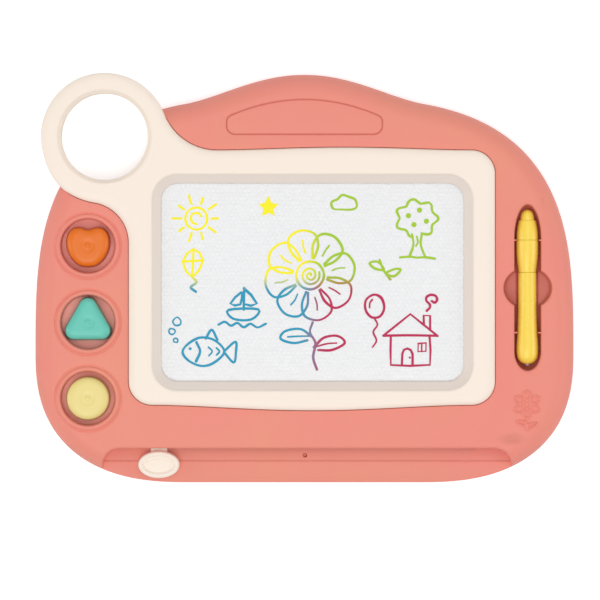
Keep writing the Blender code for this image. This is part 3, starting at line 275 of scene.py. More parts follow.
def skin(loops, lines, height, kept, facing=1):
    """One moulded face, from its closed and open edges in plan, its level everywhere and the part kept."""
    points, edges, start = [], [], 0
    for closed, group in ((True, loops), (False, lines)):
        for loop in group:
            count = len(loop)
            points.append(loop)
            edges += [(start + i, start + i + 1) for i in range(count - 1)]
            if closed:
                edges.append((start + count - 1, start))
            start += count
    plan, _, faces, *_ = geometry.delaunay_2d_cdt([Vector(p) for p in np.vstack(points)], edges, [], 0, 1e-4)
    plan = np.array([tuple(p) for p in plan])
    faces = np.array([tuple(f) for f in faces])
    faces = faces[kept(plan[faces].mean(axis=1))]
    used, faces = np.unique(faces, return_inverse=True)
    plan, faces = plan[used], faces.reshape(-1, 3)
    a, b, c = (plan[faces[:, k]] for k in range(3))
    turn = (b[:, 0] - a[:, 0]) * (c[:, 1] - a[:, 1]) - (b[:, 1] - a[:, 1]) * (c[:, 0] - a[:, 0])
    faces[turn * facing < 0] = faces[turn * facing < 0][:, ::-1]
    return np.column_stack([plan, height(plan)]), faces


def band(rings, closed=True, kept=None):
    """Faces between rings of equally many points."""
    count = len(rings[0])
    faces = []
    for level in range(len(rings) - 1):
        for i in range(count if closed else count - 1):
            j = (i + 1) % count
            low = level * count
            faces.append((low + i, low + j, low + count + j, low + count + i))
    points, faces = np.vstack(rings), np.array(faces)
    if kept is not None:
        faces = faces[kept(points[faces].mean(axis=1)[:, :2])]
    return points, faces


def at_level(loop, level):
    """A loop in plan lifted to a level."""
    return np.column_stack([loop, np.full(len(loop), level)])


def moulded(name, parts, finish, body, nodes=()):
    """A piece from parts of points and faces, in metres, riding on its body and standing for its CAD nodes."""
    points, faces, start = [], [], 0
    for part_points, part_faces in parts:
        points.append(part_points)
        faces += [tuple(int(start + i) for i in face) for face in part_faces]
        start += len(part_points)
    mesh = bpy.data.meshes.new(name)
    mesh.from_pydata((np.vstack(points) / 1000).tolist(), [], faces)
    mesh.validate()
    mesh.polygons.foreach_set("use_smooth", [True] * len(mesh.polygons))
    mesh.materials.append(finish)
    made = bpy.data.objects.new(name, mesh)
    bpy.context.scene.collection.objects.link(made)
    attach(made, body)
    if nodes:
        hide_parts(*nodes)


# The bezel's outline and the ring's, which the case's rebate and its open corner follow
ring_place = np.array([-144.2, 102.0])
ring_radius = 46
ring_hole = 31.2
heel_way = (43.5, -41.1)
bezel_left, bezel_right, bezel_top, bezel_bottom = -126.8, 137.4, 92.2, -91.6
bezel_top_bow, bezel_bottom_bow = 2, -3.9
bezel_corner = 17
neck_fillet = 41
lobe_start, lobe_turn = math.radians(190), math.radians(45)
well_x, well_levels = -156.2, (23.2, -31.8, -86.8)
seam = 0.35
rebate, rebate_rim = 23.2, 6


def bowed(start, end, level, bow):
    """A nearly straight edge that bows by bow between start and end."""
    x = np.linspace(start, end, 120)
    share = (x - (start + end) / 2) / ((end - start) / 2)
    return np.column_stack([x, level + bow * np.maximum(0, 1 - share**2) ** 2])


def bezel_edge():
    """The bezel and the ring in one loop, with the neck's hollow curve and the lobe round the first well."""
    neck_level = bezel_top + neck_fillet
    neck_x = ring_place[0] + math.sqrt((ring_radius + neck_fillet) ** 2 - (neck_level - ring_place[1]) ** 2)
    ring_start = math.atan2(neck_level - ring_place[1], neck_x - ring_place[0])
    lobe_level, lobe_radius = well_levels[0] + 2, bezel_left - well_x
    lobe_angle = math.atan2(lobe_level - ring_place[1], well_x - ring_place[0]) + 2 * math.pi
    seam_radius = math.hypot(well_x - ring_place[0], lobe_level - ring_place[1]) - lobe_radius
    angles = np.linspace(ring_start, lobe_angle, 300)
    growth = np.clip((angles - lobe_start) / lobe_turn, 0, 1)
    radii = ring_radius + (seam_radius - ring_radius) * growth**2 * (3 - 2 * growth)
    right, left = bezel_right - bezel_corner, bezel_left + bezel_corner
    quarter = math.pi / 2
    pieces = [
        arc(right, bezel_top - bezel_corner, bezel_corner, 0, quarter),
        bowed(right, neck_x, bezel_top, bezel_top_bow),
        arc(neck_x, neck_level, neck_fillet, 3 * quarter, ring_start + 2 * quarter),
        np.column_stack([ring_place[0] + radii * np.cos(angles), ring_place[1] + radii * np.sin(angles)]),
        arc(well_x, lobe_level, lobe_radius, lobe_angle - 2 * quarter, 0),
        arc(left, bezel_bottom + bezel_corner, bezel_corner, 2 * quarter, 3 * quarter),
        bowed(left, right, bezel_bottom, bezel_bottom_bow),
        arc(right, bezel_bottom + bezel_corner, bezel_corner, 3 * quarter, 4 * quarter),
    ]
    return resampled(np.vstack(pieces), 1.8)


def ring_plan(radius, heel):
    """The ring's back half in plan: round, with a flat heel beside the screen's pocket."""
    along = np.array(heel_way) / math.hypot(*heel_way)
    outline = circle(0, 0, radius, 180)
    return outline - np.maximum(0, outline @ along - heel)[:, None] * along + ring_place


def rounded(corners, radii, steps=14):
    """A closed loop through corners, each rounded by its radius."""
    corners, found = np.array(corners, float), []
    for i, radius in enumerate(radii):
        before, corner, after = corners[i - 1], corners[i], corners[(i + 1) % len(corners)]
        if not radius:
            found.append(corner)
            continue
        back, on = before - corner, after - corner
        back, on = back / np.linalg.norm(back), on / np.linalg.norm(on)
        half = math.acos(back @ on) / 2
        centre = corner + (back + on) / np.linalg.norm(back + on) * radius / math.sin(half)
        first = corner + back * radius / math.tan(half) - centre
        turn = math.pi - 2 * half
        sign = 1 if on[0] * back[1] - on[1] * back[0] > 0 else -1
        for share in np.linspace(0, 1, steps):
            c, s = math.cos(sign * turn * share), math.sin(sign * turn * share)
            found.append(centre + (c * first[0] - s * first[1], s * first[0] + c * first[1]))
    return np.array(found)


case = case_edge()
bezel = bezel_edge()
seam_edge = inset(bezel, -seam)
seam_side = pocket(face_level - rebate, 0.45, 0.2, 0.06, 3)

# Each well's section, out from its middle, from the soft groove round its rim down to its floor
well_section = np.array([
    (27.0, 26.5), (25.3, 26.5), (24.8, 26.42), (24.4, 26.22), (24.05, 25.92), (23.75, 25.74), (23.45, 25.82),
    (23.2, 26.12), (22.9, 26.56), (22.55, 27.0), (22.2, 27.32), (21.8, 27.52), (21.3, 27.6), (20.85, 27.55),
    (20.45, 27.38), (20.1, 27.06), (19.8, 26.6), (19.58, 26.0), (19.42, 25.3), (19.34, 24.5), (19.28, 19.0),
    (19.2, 18.55), (19.0, 18.25), (18.7, 18.07), (18.3, 18.0), (17.4, 18.0),
])

# The trough is round-bottomed, longer in its taper at the pen's tail than at its tip, and its section runs
# from outside its rolled rim down to its lowest line
pen_x, pen_axis, trough_half, trough_deep = 161.0, 19.5, 9.6, 8.8
trough_tail, trough_tip, tail_taper, tip_round = 29.0, -52.8, 24.0, 14.1
lip_angles = np.linspace(0.25, math.pi / 2, 5)
bowl_shares = np.sin(np.linspace(0, math.pi / 2, 12))
trough_section = np.array(
    [(1.36, face_level), (1.22, face_level)]
    + [(1.0 + 0.17 * (1 - math.sin(a)), face_level - 1.7 * (1 - math.cos(a))) for a in lip_angles]
    + [(0.98 * u, pen_axis - trough_deep * math.sqrt(max(0, 1 - u * u))) for u in bowl_shares[::-1]]
)
finger_place, finger_half, finger_floor = np.array([161.0, -7.3]), (17.4, 14.9), 15.0
finger_side = pocket(face_level - finger_floor, 1.5, 2.2, 0.6)


def trough_share(points):
    """How far out each point lies in the trough, as a share of the way from its middle line to its rim."""
    x, y = points[:, 0] - pen_x, points[:, 1]
    end = np.maximum(0, y - trough_tail) / tail_taper + np.maximum(0, trough_tip - y) / tip_round
    return np.hypot(x / trough_half, end)


def trough_loop(share):
    """The closed loop round the trough on which every point lies out by the same share."""
    quarter = np.linspace(0, math.pi / 2, 30)
    across, up = trough_half * share * np.cos(quarter), np.sin(quarter) * share
    right_top = np.column_stack([across, trough_tail + tail_taper * up])
    right_low = np.column_stack([across, trough_tip - tip_round * up])[::-1]
    side = np.linspace(trough_tip, trough_tail, 24)[1:-1]
    right = np.vstack([right_low, np.column_stack([np.full(len(side), trough_half * share), side]), right_top])
    left = right[1:-1][::-1] * (-1, 1)
    return np.vstack([right, left]) + (pen_x, 0)


def oval(place, half, grown, count=96):
    """A closed loop of points on an oval, grown on every side."""
    angles = 2 * math.pi * np.arange(count) / count
    across, along = half[0] + grown, half[1] + grown
    return np.column_stack([place[0] + across * np.cos(angles), place[1] + along * np.sin(angles)])


def oval_distance(points, place, half):
    """About how far outside an oval each point lies."""
    away = points - place
    share = np.hypot(*(away / half).T)
    return (share - 1) * share / np.maximum(np.hypot(*(away / np.square(half)).T), 1e-6)


channel_floor, channel_wall, channel_far, channel_crease = 14.0, -122.8, -130, -132.1
channel_slope, channel_dip, channel_curve, channel_brow = 0.9, 2.3, 2.6, 0.7
crease_depth, crease_half = 0.65, 0.7
channel_plan = rounded([(-151.5, -176), (155.2, -176), (148.2, channel_wall), (-144.5, channel_wall)],
                       [0, 0, 13, 13], 24)
channel_side = pocket(face_level - channel_floor, 2.2, 0.3, 0.35, 6)
slot_ends, slot_low, slot_high = (-111.7, 123.3), 14.4, 17.6
slot_shares = [(face_level - z) / (face_level - channel_floor) for z in (slot_high, slot_low)]
slot_distances = [float(np.interp(share, channel_side[1], channel_side[0])) for share in slot_shares]
dimple_place, dimple_radius, dimple_side = np.array([0.4, -128.2]), 1.5, pocket(2.2, 0.5, 0.4, 0.3)
dimple_depth = 2.4
dent_place, dent_half, dent_depth = np.array([150.0, -116.0]), (8.0, 3.4), 1.2

panel_half, panel_foot, panel_shoulder, panel_peak = 56.2, 103.7, 116.0, 128.8
panel_top = [(panel_half * s, panel_shoulder + (panel_peak - panel_shoulder) * (1 - s * s))
             for s in np.linspace(0.94, -0.94, 40)]
panel_plan = rounded([(-panel_half, panel_foot), (panel_half, panel_foot), (panel_half, panel_shoulder),
                      *panel_top, (-panel_half, panel_shoulder)], [6, 6, 5] + [0] * 40 + [5], 8)
# From outside the panel's line inwards: a fine groove, and the panel a little below the face
panel_section = np.array([(1.1, 0.0), (0.75, 0.04), (0.42, 0.55), (0.16, 1.25), (0.0, 1.4), (-0.16, 1.3),
                          (-0.45, 0.7), (-0.8, 0.4), (-1.2, 0.35)])


def spin(turn):
    """The matrix that turns rows of points anticlockwise by an angle."""
    return np.array([(math.cos(turn), math.sin(turn)), (-math.sin(turn), math.cos(turn))])


# A small raised flower at the lower right corner: round heart, six petals, stem and two leaves
flower_place, flower_rise = np.array([160.4, -91.0]), 1.05
flower_middle, flower_reach = flower_place - (0, 4), 18
bead_half, bead_side = 0.3, 0.55
bend = np.linspace(0, 2 * math.pi, 26)
petal = np.column_stack([3.2 + 3.3 * (1 - np.cos(bend)), 2.45 * np.sin(bend)])
flower_lines = [arc(0, 0, 2.6, 0, 2 * math.pi, 24)]
flower_lines += [petal @ spin(turn) for turn in np.radians([90, 150, 210, 270, 330, 30])]
stem_x = np.interp(np.linspace(0, 1, 14), [0, 0.5, 1], [0.2, -0.9, 0.3])
flower_lines.append(np.column_stack([stem_x, np.linspace(-10.3, -18.5, 14)]))
for side, level in ((1, -16.2), (-1, -14.6)):
    bend = np.linspace(0, 2 * math.pi, 22)
    leaf_y = level + 1.5 * np.sin(bend) + (1.9 - 1.9 * np.cos(bend)) * 0.55
    flower_lines.append(np.column_stack([side * (3.6 - 3.6 * np.cos(bend)), leaf_y]))
flower_lines = [line + flower_place for line in flower_lines]


def away_from_lines(points, lines):
    """The distance from each point to the nearest of some open lines."""
    nearest = np.full(len(points), 99.0)
    for line in lines:
        start, run = line[:-1], np.diff(line, axis=0)
        away = points[:, None] - start
        share = np.clip(np.sum(away * run, axis=2) / np.sum(run**2, axis=1), 0, 1)
        gap = np.sqrt(np.min(np.sum((away - share[..., None] * run) ** 2, axis=2), axis=1))
        nearest = np.minimum(nearest, gap)
    return nearest


def channel_level(points):
    """The channel's floor: level beside its wall, creased, and falling away softly towards the edge."""
    past = np.clip((channel_crease - points[:, 1]) / (channel_crease - board_bottom), 0, 1)
    crease = crease_depth * np.maximum(0, 1 - np.abs(points[:, 1] - channel_crease) / crease_half)
    return channel_floor - crease - channel_slope * past - channel_dip * past**channel_curve


def front_level(points):
    """The front moulding's level everywhere."""
    level = face_level - rolled(depth_inside(points, case), front_roll_width, front_depth)
    for y in well_levels:
        from_well = away_from(points, (well_x, y))
        level += np.interp(from_well, well_section[::-1, 0], well_section[::-1, 1] - face_level)
    level -= np.interp(-depth_inside(points, panel_plan), panel_section[::-1, 0], panel_section[::-1, 1])
    level -= dent_depth * np.exp(-np.sum(((points - dent_place) / dent_half) ** 2, axis=1))
    near = np.abs(points - flower_middle).max(axis=1) < flower_reach
    beside = (away_from_lines(points[near], flower_lines) - bead_half) / bead_side
    level[near] += flower_rise * (1 - np.clip(beside, 0, 1))
    level -= reached(-depth_inside(points, seam_edge), seam_side) * np.maximum(0, level - rebate)
    in_finger = reached(oval_distance(points, finger_place, finger_half), finger_side)
    level -= in_finger * np.maximum(0, level - finger_floor)
    trough = np.interp(trough_share(points), trough_section[::-1, 0], trough_section[::-1, 1])
    level = np.where(trough_share(points) < 1.3, np.minimum(level, trough), level)
    over = level - channel_level(points)
    cut = (over + np.hypot(over, channel_brow)) / 2
    level -= reached(-depth_inside(points, channel_plan), channel_side) * cut
    return level - dimple_depth * reached(away_from(points, dimple_place) - dimple_radius, dimple_side)


ring_bay = ring_plan(45.5, 40.9)


def outside_ring(points):
    """Whether each point is clear of the bay that the ring hangs in."""
    return depth_inside(points, ring_bay) < 0


def front_kept(points):
    """Inside the case and a little under the bezel, clear of the ring and open at the tongue's slot."""
    under = -depth_inside(points, seam_edge)
    out = -depth_inside(points, channel_plan)
    slot = (out < slot_distances[0]) & (out > slot_distances[1]) & (points[:, 1] > channel_far)
    slot &= (points[:, 0] > slot_ends[0]) & (points[:, 0] < slot_ends[1])
    return (depth_inside(points, case) > 0) & (under > -rebate_rim) & outside_ring(points) & ~slot


def scattered(middle, across, along):
    """Single points in rows about a middle, where the face needs finer triangles."""
    x, y = np.meshgrid(np.arange(*across), np.arange(*along))
    return [np.array([point]) for point in np.column_stack([x.ravel(), y.ravel()]) + middle]


def front_moulding():
    """The face, the lip at its foot, the upper and lower side of the tongue's slot, and the trough's ribs."""
    loops = [inset(case, d) for d in roll_steps(front_roll_width, 15)]
    loops += [inset(seam_edge, -d) for d in seam_side[0]] + [inset(seam_edge, rebate_rim)]
    loops += [circle(well_x, y, r, 120) for y in well_levels for r in well_section[:, 0]]
    loops += [trough_loop(u) for u in trough_section[:-1, 0]]
    loops += [oval(finger_place, finger_half, d) for d in finger_side[0]]
    loops += [inset(channel_plan, -d) for d in [*channel_side[0], *slot_distances]]
    loops += [inset(panel_plan, -d) for d in panel_section[:, 0]]
    loops += [circle(*dimple_place, dimple_radius + d, 24) for d in dimple_side[0] if d > -1.4]
    loops.append(ring_bay)
    floor_rows = (-131.0, -131.4, -131.75, -132.1, -132.45, -132.8, -134, -136, -138.5, -141, -143, -145,
                  -146.6)
    lines = [np.column_stack([np.linspace(-149, 152, 120), np.full(120, y)]) for y in floor_rows]
    lines += [np.array([(x, channel_wall - 0.9), (x, channel_wall + 0.3)]) for x in slot_ends]
    lines += scattered(flower_place, (-11, 11.1, 0.3), (-20, 11.1, 0.3))
    lines += [point for point in scattered(dent_place, (-16, 16.1, 1.3), (-6, 7.1, 0.6))
              if depth_inside(point, case)[0] > 2]
    face = skin(loops, lines, front_level, front_kept)
    lip_steps = ((2.2, 10), (2.2, parting), (0.15, parting - 0.02), (0, parting))
    lip = band([at_level(inset(case, d), z) for d, z in lip_steps], kept=outside_ring)
    wall = channel_wall + 0.2
    slot_edge = np.linspace(*slot_ends, 40)
    slot = [band([at_level(np.column_stack([slot_edge, np.full(40, wall + back)]), z) for back in steps],
                 closed=False)
            for z, steps in ((slot_low, (-0.05, 2.2)), (slot_high, (2.2, -0.05)))]
    return [face, lip, *slot, *trough_ribs()]


# Where the pen rests on its two saddles: their places along it, and its radius there
pen_rests = ((27.3, 7.9), (-39.4, 7.25))
rib_half, rib_crest, rib_root = 10.3, 25.5, 24.0


def trough_ribs():
    """Two thin saddles across the trough, each cut to the pen's round where it lies."""
    ribs = []
    for level, radius in pen_rests:
        gap = radius + 0.3
        turn = np.linspace(math.pi, 2 * math.pi, 25)[1:-1]
        seat = np.column_stack([gap * np.cos(turn), pen_axis + gap * np.sin(turn)])
        arm = np.array([(rib_half, rib_crest), (gap + 0.25, rib_crest), (gap + 0.06, rib_crest - 0.06),
                        (gap, rib_crest - 0.3), (gap, pen_axis + 0.5)])
        inner = np.vstack([arm * (-1, 1), seat, arm[::-1]])
        at_crest = inner[:, 1:] > rib_crest - 0.1
        lowered = inner + np.where(at_crest, (0, -0.15), (0, 0))
        lowered += np.where(np.abs(inner[:, :1]) < 9, inner * (0.02, 0), (0, 0))
        outer = np.column_stack([np.clip(inner[:, 0] * 1.4, -rib_half, rib_half),
                                 np.where(at_crest[:, 0], rib_root, inner[:, 1] - 2.0)])

        def row(section, along):
            """One row of the rib's points, a little along the trough from its middle."""
            return np.column_stack([pen_x + section[:, 0], np.full(len(section), level + along), section[:, 1]])

        for rows in ((row(outer, -0.5), row(lowered, -0.5)),
                     (row(lowered, -0.5), row(inner, -0.36), row(inner, 0.36), row(lowered, 0.5)),
                     (row(lowered, 0.5), row(outer, 0.5))):
            ribs.append(band(rows, closed=False))
    return ribs


def new_group(name, taken, given_out):
    """An empty shader node group, with its named sockets given as pairs of a name and a kind."""
    group = bpy.data.node_groups.new(name, "ShaderNodeTree")
    for way, sockets in (("INPUT", taken), ("OUTPUT", given_out)):
        for label, kind in sockets:
            group.interface.new_socket(label, in_out=way, socket_type=f"NodeSocket{kind}")
    return group, group.nodes.new("NodeGroupInput").outputs, group.nodes.new("NodeGroupOutput").inputs


def bumped(tree, height, distance, strength=1.0):
    """The normal of a surface that is raised by up to a distance in metres."""
    given = {"Strength": strength, "Distance": distance, "Height": height}
    return add_node(tree, "ShaderNodeBump", given).outputs[0]


def moulded_grain_group():
    """The look of moulded plastic: colour that drifts where the melt flowed, a fine spark-eroded grain and
    the slight waviness of a large thin wall, with faint handling marks that change its gloss."""
    group, given, put = new_group(
        "moulded_grain",
        [("Colour", "Color"), ("Drift", "Float"), ("Grain", "Float"), ("Grain height", "Float"),
         ("Gloss", "Float"), ("Marks", "Float")],
        [("Colour", "Color"), ("Roughness", "Float"), ("Normal", "Vector")],
    )
    place = own_place(group)
    flow = cloudy(group, place, 11.0, 3.0, Distortion=0.6)
    fleck = cloudy(group, place, 1400.0, 2.0)
    centred = maths(group, "SUBTRACT", maths(group, "MULTIPLY_ADD", fleck, 0.35, flow), 0.675)
    value = maths(group, "MULTIPLY_ADD", centred, given["Drift"], 1.0)
    hue = maths(group, "MULTIPLY_ADD", centred, -0.02, 0.5)
    toned = add_node(group, "ShaderNodeHueSaturation", {"Hue": hue, "Value": value, "Color": given["Colour"]})
    group.links.new(toned.outputs[0], put["Colour"])
    scuff = maths(group, "SUBTRACT", cloudy(group, place, 34.0, 5.0, Roughness=0.65), 0.5)
    group.links.new(maths(group, "MULTIPLY_ADD", scuff, given["Marks"], given["Gloss"]), put["Roughness"])
    grain = cloudy(group, place, given["Grain"], 2.0)
    surface = maths(group, "MULTIPLY_ADD", cloudy(group, place, 28.0, 1.0), 2.5, grain)
    group.links.new(bumped(group, surface, given["Grain height"]), put["Normal"])
    return group


moulded_grain = moulded_grain_group()


def plastic(name, colour, gloss, drift=0.05, grain=2200.0, grain_height=0.00002, **constants):
    """A moulded plastic finish in one colour, as the eye sees it."""
    made, tree, shader = new_finish(name, IOR=1.5, **constants)
    surface = add_node(tree, "ShaderNodeGroup", {
        "Colour": linear(*colour), "Drift": drift, "Grain": grain, "Grain height": grain_height, "Gloss": gloss,
        "Marks": 0.06}, node_tree=moulded_grain)
    for output, socket in (("Colour", "Base Color"), ("Roughness", "Roughness"), ("Normal", "Normal")):
        tree.links.new(surface.outputs[output], shader.inputs[socket])
    return made


def eased(tree, value, start, end):
    """0 where a value is at start, 1 where it is at end, and a soft step between them."""
    given = {"Value": value, "From Min": start, "From Max": end}
    return add_node(tree, "ShaderNodeMapRange", given, interpolation_type="SMOOTHSTEP").outputs[0]


def low_share_group():
    """0 above one level, 1 below another and a soft step between them."""
    group, given, put = new_group("low_share", [("High", "Float"), ("Low", "Float")], [("Share", "Float")])
    level = add_node(group, "ShaderNodeSeparateXYZ", {0: own_place(group)}).outputs[2]
    group.links.new(eased(group, level, given["High"], given["Low"]), put["Share"])
    return group


low_share = low_share_group()


def low_part(tree, high, low):
    """The share of how low a place lies between two levels, in millimetres."""
    given = {"High": high / 1000, "Low": low / 1000}
    return add_node(tree, "ShaderNodeGroup", given, node_tree=low_share).outputs[0]


def set_value(finish, value, saturation=1.0):
    """Darkens or lightens a plastic's colour by a value that the shader works out, to paint shade or light into
    it.
    """
    tree = finish.node_tree
    base = tree.nodes["Principled BSDF"].inputs["Base Color"]
    given = {"Value": value, "Saturation": saturation, "Color": base.links[0].from_socket}
    tree.links.new(add_node(tree, "ShaderNodeHueSaturation", given).outputs[0], base)


def chosen(tree, share, without, with_share):
    """One number where the share is 0 and another where it is 1."""
    return add_node(tree, "ShaderNodeMix", {0: share, 2: without, 3: with_share}, data_type="FLOAT").outputs[0]


def short_of(tree, coordinate, limit):
    """1 where a coordinate is below a limit in millimetres, and 0 past it."""
    return maths(tree, "LESS_THAN", coordinate, limit / 1000)


def vector_maths(tree, operation, *values):
    """The result of a Vector Math node, a plain number for a length, a distance or a dot product."""
    made = add_node(tree, "ShaderNodeVectorMath", dict(enumerate(values)), operation=operation)
    return made.outputs["Value" if operation in ("LENGTH", "DISTANCE", "DOT_PRODUCT") else "Vector"]


def away_in_plan(tree, place, middle):
    """The way in plan from a middle in millimetres to each place."""
    return vector_maths(tree, "SUBTRACT", place, (middle[0] / 1000, middle[1] / 1000, 0))


def in_box(tree, place, middle, half):
    """1 inside a box in plan and 0 outside it."""
    size = vector_maths(tree, "ABSOLUTE", away_in_plan(tree, place, middle))
    sides = add_node(tree, "ShaderNodeSeparateXYZ", {0: size}).outputs
    return maths(tree, "MULTIPLY", short_of(tree, sides[0], half[0]), short_of(tree, sides[1], half[1]))


def from_oval(tree, place, middle, half):
    """How far out a place lies in plan, in shares of an oval's half axes."""
    per_half = (1000 / half[0], 1000 / half[1], 0)
    shares = vector_maths(tree, "MULTIPLY", away_in_plan(tree, place, middle), per_half)
    return vector_maths(tree, "LENGTH", shares)


satin_coral = {"colour": (238, 144, 126), "gloss": 0.5, "Specular_IOR_Level": 0.35}
coral = plastic("coral_plastic", **satin_coral)
# Where the face isn't plain: the middle and half size of each place in plan, and the painted shade or painted
# light there as a share of the face's 1
wells_box, wells_painted_light, wells_painted_light_saturation = ((well_x, well_levels[1]), (19.9, 75)), 1.16, 0.85
bed_box, bed_painted_shade = ((pen_x, -6.5), (11.8, 64)), 0.8
hollow_middle, hollow_radius = (pen_x, finger_place[1], 22), 19
channel_start, channel_painted_shade, past_crease_painted_shade = -120, 0.95, 0.98
groove_oval, crease_box = ((0, 103), (66, 28)), ((1.85, channel_crease), (146.5, 0.4))
groove_painted_shade, groove_painted_shade_saturation, dent_painted_shade = 0.83, 0.96, 0.88

# Painted shade darkens the channel's floors and the pen's bed and finger hollow, and painted light lifts the
# wells' low parts and makes them paler
tree = coral.node_tree
place = own_place(tree)
along = add_node(tree, "ShaderNodeSeparateXYZ", {0: place}).outputs[1]
in_wells = in_box(tree, place, *wells_box)
floor = chosen(tree, short_of(tree, along, channel_crease), channel_painted_shade, past_crease_painted_shade)
floors = chosen(tree, short_of(tree, along, channel_start), 1.0, floor)
value = chosen(tree, low_part(tree, 24.5, 16.5), 1.0, chosen(tree, in_wells, floors, wells_painted_light))
from_hollow = vector_maths(tree, "DISTANCE", place, tuple(part / 1000 for part in hollow_middle))
in_hollow = short_of(tree, from_hollow, hollow_radius)
in_bed = maths(tree, "MAXIMUM", in_box(tree, place, *bed_box), in_hollow)
# Painted shade in the pen's bed and finger hollow
value = chosen(tree, in_bed, value, chosen(tree, low_part(tree, 26.4, 22.5), 1.0, bed_painted_shade))
# Painted light: the wells' low parts are lifted and made paler, against the shade deep in them
pale = maths(tree, "MULTIPLY", in_wells, low_part(tree, 26.0, 20.0))
# Painted shade darkens the panel's fine groove, the channel's crease and the sink mark
by_panel = maths(tree, "LESS_THAN", from_oval(tree, place, *groove_oval), 1.0)
in_groove = maths(tree, "MULTIPLY", by_panel, low_part(tree, 26.0, 25.4))
painted_shade_lines = maths(tree, "MAXIMUM", in_groove, in_box(tree, place, *crease_box))
value = chosen(tree, painted_shade_lines, value, groove_painted_shade)
in_dent = eased(tree, from_oval(tree, place, dent_place, dent_half), 1.8, 0.2)
value = chosen(tree, in_dent, value, dent_painted_shade)
set_value(coral, value, chosen(tree, painted_shade_lines, chosen(tree, pale, 1.0, wells_painted_light_saturation), groove_painted_shade_saturation))
moulded("front_moulding", front_moulding(), coral, "board", ["front_shell"])


# Back moulding.
# The shallow coral tray behind, the same ABS, with four low round feet and nine deep screw holes. It is
# notched where the ring hangs past its corner, and its lip stands up inside the front moulding.

back_level = 1.6
back_roll_width = 9
back_top = parting - 0.3
screw_places = [(-178.2, -4.3), (-178.2, -59.3), (-124.5, -109.3), (136.1, -109.3), (0.0, -128.2),
                (170.0, -81.9), (161.0, 67.9), (86.0, 109.2), (-86.0, 109.2)]
feet = [(-138.0, -88.0), (138.0, -88.0), (138.0, 88.0), (-85.7, 88.0)]
foot_radius = 8
foot_side = pocket(back_level, 0.7, 0.6, 0.1)
screw_hole_radius, screw_hole_depth = 3.1, 3.0
screw_hole_side = pocket(screw_hole_depth, 0.4, 0.2, 0.1)
bay_level = 11.6
bay_side = pocket(10.0, 0.6, 0.3, 0.1)
ring_heel = 41.2
bay_plan = ring_plan(ring_radius + seam, ring_heel + seam)


def bored(level, points, places):
    """An underside's level with the screw holes sunk into it."""
    for place in places:
        in_hole = reached(away_from(points, place) - screw_hole_radius, screw_hole_side)
        level = level + screw_hole_depth * in_hole
    return level


def screw_hole_loops(places):
    """The loops round the screw holes that their rounded sides need."""
    return [circle(*place, screw_hole_radius + d, 36) for place in places for d in screw_hole_side[0]]


def back_level_at(points):
    """The back moulding's underside."""
    level = back_level + rolled(depth_inside(points, case), back_roll_width, back_top - back_level)
    for place in feet:
        level -= np.minimum(level, back_level) * reached(away_from(points, place) - foot_radius, foot_side)
    level = bored(level, points, screw_places)
    return level + np.maximum(0, bay_level - level) * reached(-depth_inside(points, bay_plan), bay_side)


def back_kept(points):
    """Inside the case, and clear of the ring's bay but for its rim."""
    return (depth_inside(points, case) > 0) & (depth_inside(points, bay_plan) < 0.3)


def back_moulding():
    """The tray's underside, and the lip that stands up inside the front moulding."""
    loops = [inset(case, d) for d in roll_steps(back_roll_width, 12)]
    loops += [circle(*place, foot_radius + d, 60) for place in feet for d in foot_side[0]]
    loops += screw_hole_loops(screw_places)
    loops += [inset(bay_plan, -d) for d in bay_side[0] if d > -0.5] + [inset(bay_plan, 0.31)]
    face = skin(loops, [], back_level_at, back_kept, facing=-1)
    lip_steps = ((0, back_top), (0.2, back_top + 0.02), (2.5, back_top), (2.5, 10.5))
    lip = band([at_level(inset(case, d), z) for d, z in lip_steps],
               kept=lambda points: depth_inside(points, bay_plan) < 0)
    return [face, lip]


back_finish = plastic("back_plastic", **satin_coral)
moulded("back_moulding", back_moulding(), back_finish, "board", ["back_cover"])


# Bezel.
# One cream ABS moulding: a raised frame round the screen, rolled on its outer shoulder and sloping down to
# the glass inside, and run out at one corner into the front half of the carrying ring.

bezel_top_level = 30.0
bezel_foot = 20.5
bezel_shoulder_width, bezel_shoulder_drop = 6.5, 3.4
bezel_skirt = 0.06
window = (-103.4, -74.6, 115.0, 68.4)
window_corner = 12


def rounded_box(left, bottom, right, top, radius, grown=0.0, steps=24):
    """A rounded rectangle, grown on every side."""
    left, bottom, right, top = left - grown, bottom - grown, right + grown, top + grown
    return rounded([(left, bottom), (right, bottom), (right, top), (left, top)], [radius + grown] * 4, steps)


window_plan = rounded_box(*window, window_corner)
# From the window's edge outwards: the lip over the glass, the slope and the soft crease at the ridge
slope_section = np.array([(-0.1, 6.5), (-0.02, 6.45), (0.0, 5.3), (0.08, 4.95), (0.3, 4.7), (0.7, 4.42),
                          (5.0, 2.1), (5.5, 1.8), (6.0, 1.5), (6.8, 0.5), (7.1, 0.26), (7.45, 0.12),
                          (7.9, 0.03), (8.6, 0.0), (9.3, 0.0)])
# From the hole's edge outwards: its wall, the bevel and the soft crease at the ridge
hole_section = np.array([(31.15, 9.5), (31.2, 9.3), (31.25, 3.9), (31.4, 3.5), (31.7, 3.15), (33.3, 1.0),
                         (33.7, 0.52), (34.1, 0.2), (34.6, 0.05), (35.2, 0.0), (35.9, 0.0)])


def bezel_level(points):
    """The bezel's level everywhere, on the frame and on the ring."""
    inside = depth_inside(points, bezel)
    past_skirt = np.maximum(0, inside - bezel_skirt)
    level = bezel_top_level - rolled(past_skirt, bezel_shoulder_width, bezel_shoulder_drop)
    skirt = np.interp(inside, [0, bezel_skirt], [bezel_foot, bezel_top_level - bezel_shoulder_drop])
    level = np.where(inside < bezel_skirt, skirt, level)
    level -= np.interp(-depth_inside(points, window_plan), slope_section[:, 0], slope_section[:, 1])
    return level - np.interp(away_from(points, ring_place), hole_section[:, 0], hole_section[:, 1])


